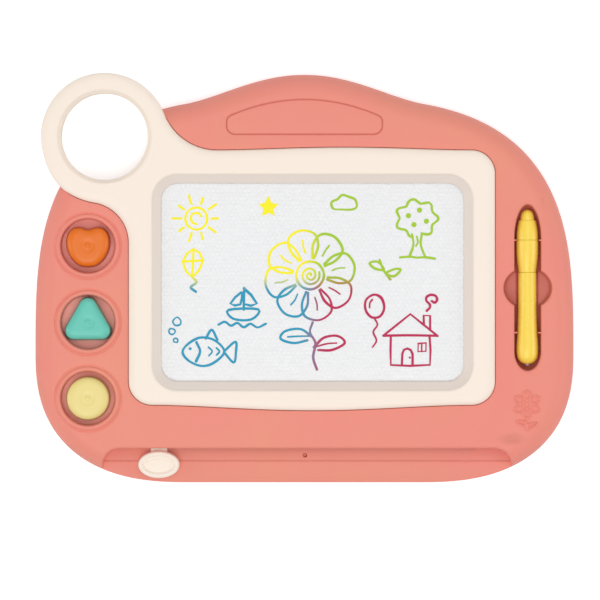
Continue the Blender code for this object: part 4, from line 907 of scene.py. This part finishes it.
def bezel_kept(points):
    """Inside the bezel's outline, and outside the window and the ring's hole."""
    in_frame = (depth_inside(points, bezel) > 0) & (depth_inside(points, window_plan) < 0.1)
    return in_frame & (away_from(points, ring_place) > ring_hole - 0.06)


def bezel_moulding():
    """The bezel's one face, from its foot in the rebate to the window and the ring's hole."""
    loops = [bezel] + [inset(bezel, bezel_skirt + d) for d in roll_steps(bezel_shoulder_width, 10)]
    loops += [rounded_box(*window, window_corner, d) for d in slope_section[:, 0]]
    loops += [circle(*ring_place, r, 180) for r in hole_section[:, 0]]
    return [skin(loops, [], bezel_level, bezel_kept)]


satin_cream = {"colour": (250, 236, 220), "gloss": 0.48, "drift": 0.03}
bezel_finish = plastic("bezel_plastic", **satin_cream)
# Painted shade: the slope down to the glass is darker and a little greyer than the ridge
screen_middle = (5.8, -3.1)
tree = bezel_finish.node_tree
inner = in_box(tree, own_place(tree), screen_middle, (116.8, 79.1))
slope_painted_shade_mask = maths(tree, "MULTIPLY", inner, low_part(tree, 29.7, 28.6))
slope_painted_shade = blended(tree, slope_painted_shade_mask, (1, 1, 1, 1), linear(236, 236, 240))
base = tree.nodes["Principled BSDF"].inputs["Base Color"]
tree.links.new(blended(tree, 1.0, base.links[0].from_socket, slope_painted_shade, blend_type="MULTIPLY"), base)
moulded("bezel", bezel_moulding(), bezel_finish, "board", ["bezel_frame"])


# Back of the carrying ring.
# A cream half ring, rolled at both its edges, closes the ring from behind. Three long screws in deep holes
# hold it to the bezel's half, with a fine joint line between them.

ring_back = 11.0
ring_split = 20.2
ring_roll = 4
ring_skirt = 0.05
ring_screws_out = 38.6
first_screw = math.atan2(-heel_way[1], -heel_way[0])
ring_screw_places = [
    tuple(ring_place + ring_screws_out * np.array([math.cos(first_screw + turn), math.sin(first_screw + turn)]))
    for turn in (0, 2 * math.pi / 3, 4 * math.pi / 3)
]
ring_back_plan = ring_plan(ring_radius, ring_heel)


def ring_back_level(points):
    """The underside of the half ring."""
    edges = (depth_inside(points, ring_back_plan), away_from(points, ring_place) - ring_hole)
    level = ring_back
    for edge in edges:
        level = level + rolled(np.maximum(0, edge - ring_skirt), ring_roll, ring_roll)
    for edge in edges:
        skirt = np.interp(edge, [0, ring_skirt], [ring_split, ring_back + ring_roll])
        level = np.where(edge < ring_skirt, skirt, level)
    return bored(level, points, ring_screw_places)


def ring_kept(points):
    """Inside the half ring's outline, and outside its hole."""
    return (depth_inside(points, ring_back_plan) > 0) & (away_from(points, ring_place) > ring_hole)


def ring_back_half():
    """The half ring's underside, and the two rims of the flat that meets the bezel's half."""
    steps = [0] + [ring_skirt + d for d in roll_steps(ring_roll, 8)]
    loops = [inset(ring_back_plan, d) for d in steps]
    loops += [circle(*ring_place, ring_hole + d, 180) for d in steps]
    loops += screw_hole_loops(ring_screw_places)
    face = skin(loops, [], ring_back_level, ring_kept, facing=-1)
    outer = [inset(ring_back_plan, d) for d in (0.02, 2)]
    inner = [circle(*ring_place, ring_hole + d, 180) for d in (2, 0.02)]
    return [face, *(band([at_level(loop, ring_split) for loop in pair]) for pair in (outer, inner))]


cream = plastic("cream_plastic", **satin_cream)
moulded("ring_back_half", ring_back_half(), cream, "board", ["ring_rear_half"])


# Drawing screen.
# Two clear PET sheets with a white honeycomb of sealed cells between them. A milky fluid in the cells hides
# fine iron grains until a magnet draws them up, so the front reads as a pale sheet with a faint mesh of cells.


def honeycomb_group():
    """A mesh of hexagons over X and Y: out comes 1 on the cell walls and 0 inside the cells."""
    group, given, put = new_group("honeycomb", [("Pitch", "Float"), ("Wall", "Float")], [("Walls", "Float")])
    per_pitch = {0: own_place(group), "Scale": maths(group, "DIVIDE", 1.0, given["Pitch"])}
    scaled = add_node(group, "ShaderNodeVectorMath", per_pitch, operation="SCALE").outputs[0]
    flat = vector_maths(group, "MULTIPLY", scaled, (1, 1, 0))
    half = (0.5, math.sqrt(3) / 2, 0.5)
    away, lengths = [], []
    for start in (flat, vector_maths(group, "SUBTRACT", flat, half)):
        wrapped = vector_maths(group, "WRAP", start, half, tuple(-h for h in half))
        away.append(vector_maths(group, "MULTIPLY", wrapped, (1, 1, 0)))
        lengths.append(vector_maths(group, "LENGTH", away[-1]))
    nearer = maths(group, "LESS_THAN", *lengths)
    cell = add_node(group, "ShaderNodeMix", {0: nearer, 4: away[1], 5: away[0]}, data_type="VECTOR").outputs[1]
    side = vector_maths(group, "ABSOLUTE", cell)
    slant = vector_maths(group, "DOT_PRODUCT", side, (0.5, math.sqrt(3) / 2, 0))
    across = add_node(group, "ShaderNodeSeparateXYZ", {0: side}).outputs[0]
    gap = maths(group, "SUBTRACT", 0.5, maths(group, "MAXIMUM", slant, across))
    group.links.new(eased(group, gap, given["Wall"], 0.0), put["Walls"])
    return group


honeycomb = honeycomb_group()
cell_pitch = 0.0033
streak_slant, streak_squeeze, streak_lift, streak_drop = 0.6, 2.2, 7.0, 19


def cell_walls(tree, pitch, wall):
    """1 on the honeycomb's walls, by its pitch in metres and the walls' share of it."""
    return add_node(tree, "ShaderNodeGroup", {"Pitch": pitch, "Wall": wall}, node_tree=honeycomb).outputs[0]


def streaks_group():
    """A film clouded in slanted streaks: its colour, and the cloud that its relief follows."""
    group, given, put = new_group("film_streaks", [("Colour", "Color"), ("Streak", "Color")],
                                  [("Colour", "Color"), ("Cloud", "Float")])
    slant = {"Vector": own_place(group), "Rotation": (0, 0, streak_slant), "Scale": (1, streak_squeeze, 1)}
    slanted = add_node(group, "ShaderNodeMapping", slant).outputs[0]
    cloud = cloudy(group, slanted, 230.0, 3.0, Distortion=0.5)
    group.links.new(blended(group, cloud, given["Colour"], given["Streak"]), put["Colour"])
    group.links.new(cloud, put["Cloud"])
    return group


film_streaks = streaks_group()


def screen_finish(name, colour, wall_colour, wall, depth, rough):
    """One of the screen's sheets: streaked, with the cells' walls a shade apart and a hair proud."""
    made, tree, shader = new_finish(name, IOR=1.45, Roughness=rough)
    walls = cell_walls(tree, cell_pitch, wall)
    given = {"Colour": linear(*colour), "Streak": linear(*[part - streak_drop for part in colour])}
    film = add_node(tree, "ShaderNodeGroup", given, node_tree=film_streaks).outputs
    tree.links.new(blended(tree, walls, film["Colour"], linear(*wall_colour)), shader.inputs["Base Color"])
    lift = maths(tree, "MULTIPLY_ADD", film["Cloud"], streak_lift, walls)
    tree.links.new(bumped(tree, lift, depth), shader.inputs["Normal"])
    return made


def repaint(node, finish):
    """Gives a CAD node that stays in view its finish."""
    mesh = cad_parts[node].data
    mesh.materials.clear()
    mesh.materials.append(finish)


for node, *look in (
    ("screen_front_sheet", "screen_film", (251, 251, 250), (239, 239, 239), 0.26, 0.0001, 0.45),
    ("screen_cell_core", "cell_core", (226, 226, 222), (240, 240, 238), 0.12, 0.0003, 0.5),
    ("screen_back_sheet", "back_film", (222, 222, 220), (210, 210, 209), 0.2, 0.00005, 0.35),
):
    repaint(node, screen_finish(*look))


# Drawings on the screen.
# A child's doodles in iron grains drawn up under the front sheet. The sheet is tinted in four zones, so one
# pen draws yellow, green, blue or red as it crosses them, and the honeycomb breaks each line up a little.

stroke_width = 1.75
thin_stroke, fine_stroke = 1.3, 1.2
hand_shake, line_swell = 0.12, 0.09
sheet_level, stroke_gap, stroke_step = 23.2, 0.02, 0.002
shaky = np.random.default_rng(7)


def curve_through(points, closed=False, each=7):
    """A rounded curve through points, with each new point a step along it."""
    points = np.array(points, float)
    ends = (2 * points[:1] - points[1:2], 2 * points[-1:] - points[-2:-1])
    if closed:
        ends = (points[-1:], points[:2])
    padded = np.vstack([ends[0], points, ends[1]])
    found = []
    for a, b, c, d in zip(padded, padded[1:], padded[2:], padded[3:]):
        for t in np.arange(each) / each:
            found.append(b + 0.5 * t * (c - a + t * (2 * a - 5 * b + 4 * c - d + t * (3 * (b - c) + d - a))))
    return np.array(found if closed else found + [points[-1]])


def stroke(line, width, level):
    """A flat ribbon along a line, with round ends and a width that wanders a little."""
    line = line[np.append(True, np.linalg.norm(np.diff(line, axis=0), axis=1) > 1e-3)]
    run = np.gradient(line, axis=0)
    run /= np.maximum(np.linalg.norm(run, axis=1), 1e-9)[:, None]
    side = np.column_stack([-run[:, 1], run[:, 0]])
    knots = len(line) // 6 + 2
    swell = 1 + line_swell * np.interp(np.arange(len(line)) / 6, np.arange(knots), shaky.normal(0, 1, knots))
    half = width / 2 * swell
    reach = np.sin(np.linspace(0, math.pi / 2, 5))

    def round_end(i, sign, shares):
        """The steps by which the ribbon closes round one end of the line."""
        return [(line[i] + sign * run[i] * half[i] * s, side[i], half[i] * math.sqrt(1 - s * s))
                for s in shares]

    places = round_end(0, -1, reach[::-1]) + list(zip(line, side, half))[1:-1] + round_end(-1, 1, reach)
    left = np.array([p + s * h for p, s, h in places])
    right = np.array([p - s * h for p, s, h in places])
    rise = level + np.linspace(0, stroke_gap, len(places))
    return band([np.column_stack([right, rise]), np.column_stack([left, rise])], closed=False)


def round_line(x, y, radius, start=0.0, turn=360.0, steps=10):
    """Points round a middle, from a start through a turn in degrees."""
    angles = np.radians(np.linspace(start, start + turn, steps, endpoint=turn < 360))
    return np.column_stack([x + radius * np.cos(angles), y + radius * np.sin(angles)])


def fan(rim, tip, facing=1):
    """Faces from a rim to a tip, seen from above, or from below where facing is -1."""
    count = len(rim)
    faces = np.array([(i, (i + 1) % count, count) for i in range(count)])
    return np.vstack([rim, [tip]]), faces if facing > 0 else faces[:, [1, 0, 2]]


drawn = []


def next_level():
    """A later stroke lies a hair above an earlier one."""
    return sheet_level + stroke_gap + stroke_step * len(drawn)


def draw(points, closed=False, width=stroke_width, each=7):
    """One stroke of the pen, a little shaky."""
    points = np.array(points, float)
    line = curve_through(points + shaky.normal(0, hand_shake, points.shape), closed, each)
    line = np.vstack([line, line[:2]]) if closed else line
    drawn.append(stroke(line, width, next_level()))


def fill(outline):
    """A patch filled in with the pen, from its outline round its own middle."""
    outline, level = np.array(outline, float), next_level()
    drawn.append(fan(at_level(outline, level), (*outline.mean(axis=0), level)))


def dot(x, y, radius=1.0):
    """A small round patch."""
    fill(round_line(x, y, radius, 0, 360, 14))


# Sun, upper left
draw(round_line(-78, 43, 8, 80, 358, 12))
for i, turn in enumerate(np.radians(np.arange(0, 360, 36))):
    draw([(-78 + r * math.cos(turn), 43 + r * math.sin(turn)) for r in (11, 13, 15.5 + 1.8 * (i % 2))])
draw(round_line(-78, 43, 4, 20, 250, 7))
# Kite and its tail, below the sun
draw([(-88, 12), (-80, 21), (-73, 12.5), (-81, 0.5)], closed=True, each=2)
draw([(-88, 12), (-73, 12.5)], each=3)
draw([(-80, 21), (-81, 0.5)], each=3)
draw([(-81, 0.5), (-78, -3), (-82, -6.5), (-78.5, -10)])
# Star and small cloud, top middle
points_and_notches = zip(np.radians(np.arange(0, 360, 36)), [6.8, 3.2] * 5)
star = [(-26 - r * math.sin(a), 51 + r * math.cos(a)) for a, r in points_and_notches]
fill(star)
draw(star, closed=True, each=1)
draw([(21, 50), (19.5, 54.5), (24, 57), (27.5, 60), (32.5, 58.5), (36.5, 56.5), (37.5, 52), (34.5, 49.5),
      (27, 49.6)], closed=True)
# Tree, upper right
crown = [(a, 1 + 0.12 * math.cos(7 * a)) for a in np.linspace(-1.3, 4.5, 34)]
draw([(81 + 14 * math.cos(a) * bulge, 43 + 12.5 * math.sin(a) * bulge) for a, bulge in crown])
draw([(77.5, 31.5), (78.5, 24), (76, 15.5)])
draw([(84.5, 31), (84, 24), (87, 15)])
draw([(69, 15), (76, 15.5), (81, 14.6), (87, 15), (94, 14)])
for x, y in ((75, 45), (83, 49), (88, 41), (79, 38.5)):
    dot(x, y, 1.9)
draw([(80.5, 23), (82, 26), (81, 30)], width=thin_stroke)
# Leaf sprig, under the tree
draw([(62, -1), (57, 6), (54, 13)])
draw([(57, 6), (50.5, 7), (47, 11), (53, 11.5)], closed=True)
draw([(59, 3.5), (65, 6.5), (69.5, 6), (64.5, 1.5)], closed=True)
# The large flower across all four zones
middle = np.array([4.0, 2.0])
spiral = zip(np.linspace(0, 4.1 * math.pi, 26), np.linspace(0.8, 7.2, 26))
big_petal = np.array([(11.4, -5.4), (19.5, -10), (28.5, -9.6), (33, 0), (29, 9.4), (20, 10.2), (11.6, 5.6)])
petal_vein = np.array([(16.5, 0), (21, 0.6), (25.5, 0)])
draw(middle + round_line(0, 0, 10, 0, 360, 12), closed=True)
draw([middle + r * np.array([math.cos(a), math.sin(a)]) for a, r in spiral], width=1.5)
for turn in np.radians(np.arange(12, 372, 45)):
    draw(middle + big_petal @ spin(turn))
    draw(middle + petal_vein @ spin(turn), width=fine_stroke)
draw([(6, -32), (4, -39), (8, -47), (6.5, -57), (9, -66)])
draw([(7, -50), (14, -43), (24, -42), (29, -47), (20, -52), (10, -52)])
draw([(5, -42), (-3, -37), (-14, -38.5), (-17, -44), (-8, -47), (2, -45)])
draw([(7, -50), (16, -47.5), (23, -46.8)], width=fine_stroke)
draw([(5, -42), (-5, -42.3), (-12, -42.6)], width=fine_stroke)
# Fish and bubbles, lower left
draw([(-58, -53), (-65, -45), (-75, -43), (-84, -47.5), (-88, -53.5), (-83, -60), (-74, -63.5), (-65, -61)],
     closed=True)
draw([(-58, -53), (-50, -46), (-49.5, -53.5), (-51, -61), (-58, -53.6)])
draw([(-78, -46.5), (-75.5, -53), (-78.5, -60)])
draw([(-71, -43.5), (-67, -37.5), (-63, -44.5)])
draw([(-69, -50), (-66.5, -53), (-69, -56)], width=thin_stroke)
draw([(-63.5, -50.5), (-61.5, -53), (-63.5, -55.5)], width=thin_stroke)
dot(-82.5, -51, 1.1)
for x, y, r in ((-93, -45, 1.6), (-95.5, -38.5, 2.2), (-92, -31.5, 2.9)):
    draw(round_line(x, y, r, 0, 360, 8), closed=True, width=fine_stroke)
# Boat on the waves, above the fish
draw([(-55, -23), (-51, -29.5), (-38, -30), (-33, -22.5)], closed=True, each=4)
draw([(-44, -22.5), (-43.5, -7)], each=4)
draw([(-43.5, -7.5), (-34.5, -18.5), (-43.6, -19)], closed=True, each=2)
draw([(-46, -10.5), (-53.5, -18.5), (-46.2, -19)], closed=True, each=2)
draw([(-62, -33.5), (-57.5, -31.5), (-53, -34.5), (-48.5, -32.5), (-44, -35.5), (-39, -33), (-34, -35.5),
      (-28, -33)])
# House, lower right
draw([(62.3, -42), (62, -52), (62.4, -63), (76, -63.4), (90.4, -63), (90.8, -52), (90.2, -42)], each=1)
draw([(57, -41.6), (66.5, -34.2), (76.5, -26), (86, -33.8), (96, -41.8)], each=1)
draw([(57.2, -41.7), (76, -41.2), (95.8, -41.7)], each=3)
draw([(70.5, -63), (70.4, -54.5), (71.8, -51.8), (74.3, -50.8), (76.7, -52), (78, -54.6), (78, -63)], each=1)
dot(76, -57.4, 0.8)
draw([(82, -47.2), (87.6, -47), (87.5, -53), (81.9, -53.1)], closed=True, width=fine_stroke, each=1)
draw([(84.7, -47), (84.7, -53)], width=1.1, each=3)
draw([(86, -33.2), (86, -27), (90.6, -27.1), (90.6, -37)], each=1)
draw([(88.3, -23.5), (90.6, -21.4), (90.2, -18.6), (87.9, -16.6), (88.2, -13.6), (91.2, -12.2), (94.4, -13),
      (95.6, -15.8), (93.8, -17.8), (91.9, -16.6)])
# Balloon, right of the flower
draw([(50, -12), (44.5, -16), (44, -23), (48.5, -28.5), (54.5, -27.5), (57.5, -21.5), (55.5, -14.5)],
     closed=True)
draw([(50.5, -29), (52.5, -34), (49.5, -39), (52, -45), (49, -50)], width=fine_stroke)
draw([(49, -15.5), (47, -18), (46.8, -21.5)], width=fine_stroke)

ink, tree, shader = new_finish("iron_grain_lines", IOR=1.3, Roughness=0.6)
place = own_place(tree)
spot = add_node(tree, "ShaderNodeSeparateXYZ", {0: place}).outputs
# The borders between the zones cross in the screen's middle, each blurred a few millimetres to either side
to_right, to_top = (eased(tree, spot[k], (screen_middle[k] - blur) / 1000, (screen_middle[k] + blur) / 1000)
                    for k, blur in enumerate((9, 7)))
upper = blended(tree, to_right, linear(255, 243, 0), linear(163, 203, 14))
lower = blended(tree, to_right, linear(0, 152, 186), linear(190, 0, 76))
tinted = blended(tree, to_top, lower, upper)
grains = {"Value": cloudy(tree, place, 2600.0, 3.0), "From Min": 0.45, "From Max": 0.7, "To Max": 0.07}
thin = add_node(tree, "ShaderNodeMapRange", grains).outputs[0]
gaps = maths(tree, "MULTIPLY_ADD", cell_walls(tree, cell_pitch / 3, 0.22), 0.05, thin, use_clamp=True)
tree.links.new(blended(tree, gaps, tinted, linear(236, 237, 238)), shader.inputs["Base Color"])
moulded("screen_drawings", drawn, ink, "board")


# Eraser knob and carriage.
# An oval cream knob, dished for a fingertip, runs along the channel. Its flat tongue passes through the
# channel's wall and is screwed to a carriage that draws a strip magnet under the screen and wipes it.

knob_place = (-105.2, -134.7)
knob_half = (15.0, 9.8)
knob_foot, knob_dish = 14.9, 21.0
tongue_half, tongue_ends, tongue_corner = 6, (-134, -97), 0.8
tongue_top, tongue_bevel, tongue_middle = 17.1, 0.3, -115.0
# In from the knob's rim, and the level there
knob_section = [(1.3, knob_foot), (0.5, 15.3), (0.1, 16.1), (0.0, 17.2), (0.0, 19.6), (0.12, 20.6),
                (0.5, 21.5), (1.1, 22.05), (1.8, 22.3), (2.5, 22.2), (3.1, 21.75), (3.6, 21.1), (4.0, 20.6),
                (4.4, 20.35), (4.8, 20.35), (5.2, 20.6), (5.6, 20.85), (6.1, 20.98), (7.2, 21.02),
                (8.8, knob_dish)]


def closed_up(rings, middle, top, foot):
    """Rings with a lid over the last one and a base under the first."""
    return [band(rings), fan(rings[-1], (*middle, top)), fan(rings[0], (*middle, foot), facing=-1)]


def knob():
    """The dished oval knob, and the flat tongue that runs back from under it."""
    rings = [at_level(oval(knob_place, knob_half, -inwards, 128), z) for inwards, z in knob_section]
    left, right = knob_place[0] - tongue_half, knob_place[0] + tongue_half
    tongue_edge = rounded_box(left, tongue_ends[0], right, tongue_ends[1], tongue_corner, steps=4)
    steps = ((tongue_bevel, knob_foot), (0, knob_foot + tongue_bevel),
             (0, tongue_top - tongue_bevel), (tongue_bevel, tongue_top))
    tongue = [at_level(inset(tongue_edge, d), z) for d, z in steps]
    grip = closed_up(rings, knob_place, knob_dish, knob_foot)
    return grip + closed_up(tongue, (knob_place[0], tongue_middle), tongue_top, knob_foot)


moulded("eraser_grip", knob(), cream, "eraser", ["eraser_knob"])
repaint("eraser_carrier", plastic("natural_plastic", (222, 216, 205), 0.5))

sheet_magnet, tree, shader = new_finish("sheet_magnet", Roughness=0.75)
ferrite = cloudy(tree, own_place(tree), 1500.0, 4.0)
dust = blended(tree, ferrite, (0.012, 0.011, 0.011, 1), (0.05, 0.045, 0.042, 1))
tree.links.new(dust, shader.inputs["Base Color"])
tree.links.new(bumped(tree, ferrite, 0.00005, 0.6), shader.inputs["Normal"])
for node in ("eraser_magnet", "heart_stamp_magnet", "triangle_stamp_magnet", "round_stamp_magnet"):
    repaint(node, sheet_magnet)


# Pen.
# A smooth yellow pen in three turned-looking mouldings: a domed cap, a swelling grip and a long barrel with a
# small magnet at its tip. Fine grooves show where they push together.

pen_tail = 49.5
# Each moulding's section, as the distance from the pen's tail and the radius there
cap_section = [(0.0, 0.0), (0.08, 0.9), (0.4, 1.9), (1.1, 3.0), (2.2, 3.9), (3.6, 4.5), (5.4, 4.88),
               (7.1, 5.1), (7.5, 5.08), (7.6, 5.25), (7.75, 5.75), (8.1, 6.05), (9.0, 6.35), (11, 6.82),
               (13.5, 7.25), (16, 7.55), (18.5, 7.75), (20.8, 7.86), (21.7, 7.88), (21.95, 7.8),
               (22.05, 7.5), (22.05, 6.8)]
grip_section = [(22.15, 6.8), (22.15, 7.5), (22.25, 7.85), (22.6, 7.95), (24.5, 8.0), (27.5, 8.0),
                (30.5, 7.95), (33.5, 7.78), (36.5, 7.5), (39.5, 7.12), (42, 6.74), (44, 6.42), (45.0, 6.3),
                (45.25, 6.18), (45.35, 5.9), (45.35, 5.4)]
barrel_section = [(45.45, 5.4), (45.45, 5.95), (45.55, 6.35), (45.9, 6.52), (48, 6.55), (56, 6.55),
                  (64, 6.56), (72, 6.66), (79, 6.84), (86, 7.12), (92, 7.45), (97, 7.78), (100.5, 7.94),
                  (103, 7.88), (105.3, 7.6), (107.3, 7.08), (108.7, 6.2), (109.8, 5.2), (110.6, 4.1),
                  (111.1, 3.1), (111.35, 2.3), (111.4, 1.75), (110.9, 1.7), (109.5, 1.7)]


def smoothed(section, each=3):
    """A section with more points, on a curve through the given ones."""
    def part_way(u, v, start, end):
        """What t has reached between u and v, on its way from start to end."""
        return (end - t) / (end - start) * u + (t - start) / (end - start) * v

    points = np.array(section, float)
    padded = np.vstack([2 * points[0] - points[1], points, 2 * points[-1] - points[-2]])
    found = []
    for a, b, c, d in zip(padded, padded[1:], padded[2:], padded[3:]):
        lengths = [max(np.linalg.norm(v - u), 1e-6) ** 0.5 for u, v in ((a, b), (b, c), (c, d))]
        t0, t1, t2, t3 = 0, lengths[0], sum(lengths[:2]), sum(lengths)
        for t in np.linspace(t1, t2, each, endpoint=False):
            ab, bc, cd = part_way(a, b, t0, t1), part_way(b, c, t1, t2), part_way(c, d, t2, t3)
            abc, bcd = part_way(ab, bc, t0, t2), part_way(bc, cd, t1, t3)
            found.append(part_way(abc, bcd, t1, t2))
    found.append(points[-1])
    return np.maximum(found, 0)


def turned_along_pen(section):
    """A body turned about the pen's own axis."""
    angles = 2 * math.pi * np.arange(96) / 96
    rings = []
    for away, radius in smoothed(section):
        across, up = pen_x + radius * np.cos(angles), pen_axis + radius * np.sin(angles)
        rings.append(np.column_stack([across, np.full(96, pen_tail - away), up]))
    return [band(rings)]


def bloom_group():
    """The dull bloom on plated metal, which clouds its colour and its gloss."""
    group, given, put = new_group(
        "plating_bloom",
        [("Bright", "Color"), ("Dull", "Color"), ("Scale", "Float"), ("Detail", "Float"), ("Least", "Float"),
         ("Most", "Float")],
        [("Colour", "Color"), ("Roughness", "Float")],
    )
    bloom = cloudy(group, own_place(group), given["Scale"], given["Detail"])
    group.links.new(blended(group, bloom, given["Bright"], given["Dull"]), put["Colour"])
    spread = {"Value": bloom, "To Min": given["Least"], "To Max": given["Most"]}
    group.links.new(add_node(group, "ShaderNodeMapRange", spread).outputs[0], put["Roughness"])
    return group


plating_bloom = bloom_group()


def plated(name, metal, scale, detail, bright, dull, rough):
    """A plated metal, its colour and roughness clouded between two values."""
    made, tree, shader = new_finish(name, Metallic=metal)
    given = {"Bright": linear(*bright), "Dull": linear(*dull), "Scale": scale, "Detail": detail,
             "Least": rough[0], "Most": rough[1]}
    bloom = add_node(tree, "ShaderNodeGroup", given, node_tree=plating_bloom).outputs
    tree.links.new(bloom["Colour"], shader.inputs["Base Color"])
    tree.links.new(bloom["Roughness"], shader.inputs["Roughness"])
    return made


polished = {"grain": 900.0, "grain_height": 0.000008}
yellow = plastic("yellow_plastic", (253, 221, 84), 0.28, drift=0.04, **polished)
repaint("pen_nib", plated("nickel_plate", 0.4, 900.0, 3.0, (192, 188, 180), (166, 163, 156), (0.3, 0.5)))
for part, section in (("cap", cap_section), ("grip", grip_section), ("barrel", barrel_section)):
    moulded(f"pen_{part}_turned", turned_along_pen(section), yellow, "pen", [f"pen_{part}"])


# Stamps.
# Three magnet stamps in glossy plastic, a heart, a triangle and a round one, each crowned like a pillow, with
# a shallow dish and a gate pip in its middle. A sheet magnet under each prints its shape on the screen.

stamp_foot = 18.3
stamp_peak = 31.41
stamp_radius = 16.1
heart_size, heart_shift = (16.1, 29.2), -0.8
heart_half = [(0.0, 0.95), (0.1, 0.955), (0.24, 0.985), (0.44, 1.0), (0.66, 0.975), (0.85, 0.89),
              (0.97, 0.75), (1.0, 0.6), (0.96, 0.44), (0.85, 0.29), (0.67, 0.15), (0.42, 0.04), (0.18, 0.0)]
triangle_reach, triangle_round = 18.6, 7.2
# In from the stamp's edge and the level there, up to the crown's shoulder
stamp_side = [(1.9, stamp_foot), (0.6, stamp_foot), (0.0, stamp_foot + 0.6), (0.12, 21), (0.45, 24),
              (0.75, 26), (0.95, 27.2)]
crown_start, crown_width, crown_foot, crown_rise = 1.0, 5.4, 27.4, 3.65
crown_shares = np.array([0.0, 0.01, 0.025, 0.05, 0.08, 0.12, 0.17, 0.24, 0.33, 0.44, 0.56, 0.7, 0.85])
# Out from the stamp's middle and the level there, from the dish's rim in to the pip
dish_radius, dish_brim, brim_rise = 6.4, 31.03, 0.05
dish_section = [(6.0, 31.08), (5.5, 31.05), (5.0, 30.95), (4.5, 30.82), (4.0, 30.72), (3.4, 30.68),
                (2.8, 30.68), (2.3, 30.74), (1.9, 30.92), (1.5, 31.14), (1.1, 31.3), (0.7, 31.38),
                (0.3, stamp_peak)]


def heart_plan():
    """The heart's outline, from its right half and the same one mirrored."""
    half = np.array(heart_half) * heart_size + (0, heart_shift - heart_size[1] / 2)
    whole = np.vstack([half, half[1:][::-1] * (-1, 1)])[::-1]
    return resampled(curve_through(whole, closed=True), 0.8)


def triangle_plan():
    """The triangle's outline: three wide corners with straight sides between them."""
    out = triangle_reach - triangle_round
    corners = []
    for way, start in zip(np.radians([90, 210, 330]), (30, 150, 270)):
        x, y = out * math.cos(way), out * math.sin(way) - 0.3
        corners.append(arc(x, y, triangle_round, math.radians(start), math.radians(start + 120), 20))
    return resampled(np.vstack(corners), 0.8)


def stamp(plan, place):
    """A stamp from its plan: upright sides, a rolled edge, a crown, and the dish and pip in the middle."""
    crown = [(crown_start + crown_width * t, crown_foot + crown_rise * (1 - (1 - t) ** 2.4) ** 0.6)
             for t in crown_shares]
    rings = [at_level(inset(plan, d), z) for d, z in stamp_side + crown]
    edge = rings[-1][:, :2]
    way = edge / np.linalg.norm(edge, axis=1)[:, None]
    rings += [at_level((1 - s) * edge + s * way * dish_radius, dish_brim + brim_rise * s)
              for s in (0.3, 0.6, 1.0)]
    rings += [at_level(way * radius, z) for radius, z in dish_section]
    parts = (band(rings), fan(rings[-1], (0, 0, stamp_peak)))
    return [(points + (*place, 0), faces) for points, faces in parts]


for level, (kind, plan, colour, gloss, finish_name, slot) in zip(well_levels, (
    ("heart", heart_plan(), (234, 117, 12), 0.36, "orange_plastic", "orange"),
    ("triangle", triangle_plan(), (102, 200, 180), 0.36, "teal_plastic", "teal"),
    ("round", circle(0, 0, stamp_radius, 126), (238, 219, 140), 0.38, "straw_plastic", "pale_yellow"),
)):
    finish = plastic(finish_name, colour, gloss, **polished)
    # Light hardly gets down beside a stamp in its well
    set_value(finish, chosen(finish.node_tree, low_part(finish.node_tree, 27.6, 26.6), 1.0, 0.62))
    made = stamp(plan, (well_x, level))
    moulded(f"{kind}_stamp_top", made, finish, f"{kind}_piece", [f"{kind}_stamp"])


# Screws.
# Zinc-plated pan heads with cross recesses: nine close the case and three the ring, seen from behind down
# their holes. Those under the bezel and in the eraser's carriage stay hidden inside.

zinc = plated("zinc_plate", 1.0, 500.0, 4.0, (196, 198, 202), (166, 168, 172), (0.24, 0.46))
tree = zinc.node_tree
brushing = bumped(tree, cloudy(tree, own_place(tree), 4200.0, 2.0), 0.00001, 0.5)
tree.links.new(brushing, tree.nodes["Principled BSDF"].inputs["Normal"])
case_seat, case_shank = 4.3, 8.4
ring_seat, ring_shank = 13.7, 11.0
head_edge = [(2.0, -1.88), (2.35, -1.8), (2.6, -1.5), (2.75, -1.0), (2.8, -0.1), (2.78, 0), (1.3, 0)]


def screw_head(place, seat, length):
    """A pan head seen from below, its cross recess pressed in, on a plain shank."""
    size = 56
    angles = 2 * math.pi * np.arange(size) / size
    cross = np.abs(((angles + math.pi / 4) % (math.pi / 2)) - math.pi / 4)
    arm = np.where(cross < 0.3, 1.75, 0.75)
    outline = [(0.05, seat - 0.9), (arm * 0.55, seat - 0.9), (arm, seat - 1.86)]
    outline += [(radius, seat + rise) for radius, rise in head_edge] + [(1.3, seat + length)]
    rings = [np.column_stack([radius * np.cos(angles), radius * np.sin(angles), np.full(size, z)])[::-1]
             for radius, z in outline]
    points, faces = band(rings[::-1])
    return [(points + (*place, 0), faces)]


for kind, places, seat, shank in (("case", screw_places, case_seat, case_shank),
                                  ("ring", ring_screw_places, ring_seat, ring_shank)):
    for i, place in enumerate(places, 1):
        head = screw_head(place, seat, shank)
        moulded(f"{kind}_screw_head_{i}", head, zinc, "board", [f"{kind}_screw_{i}"])
for node in [f"bezel_screw_{i}" for i in range(1, 7)] + ["eraser_screw"]:
    repaint(node, zinc)
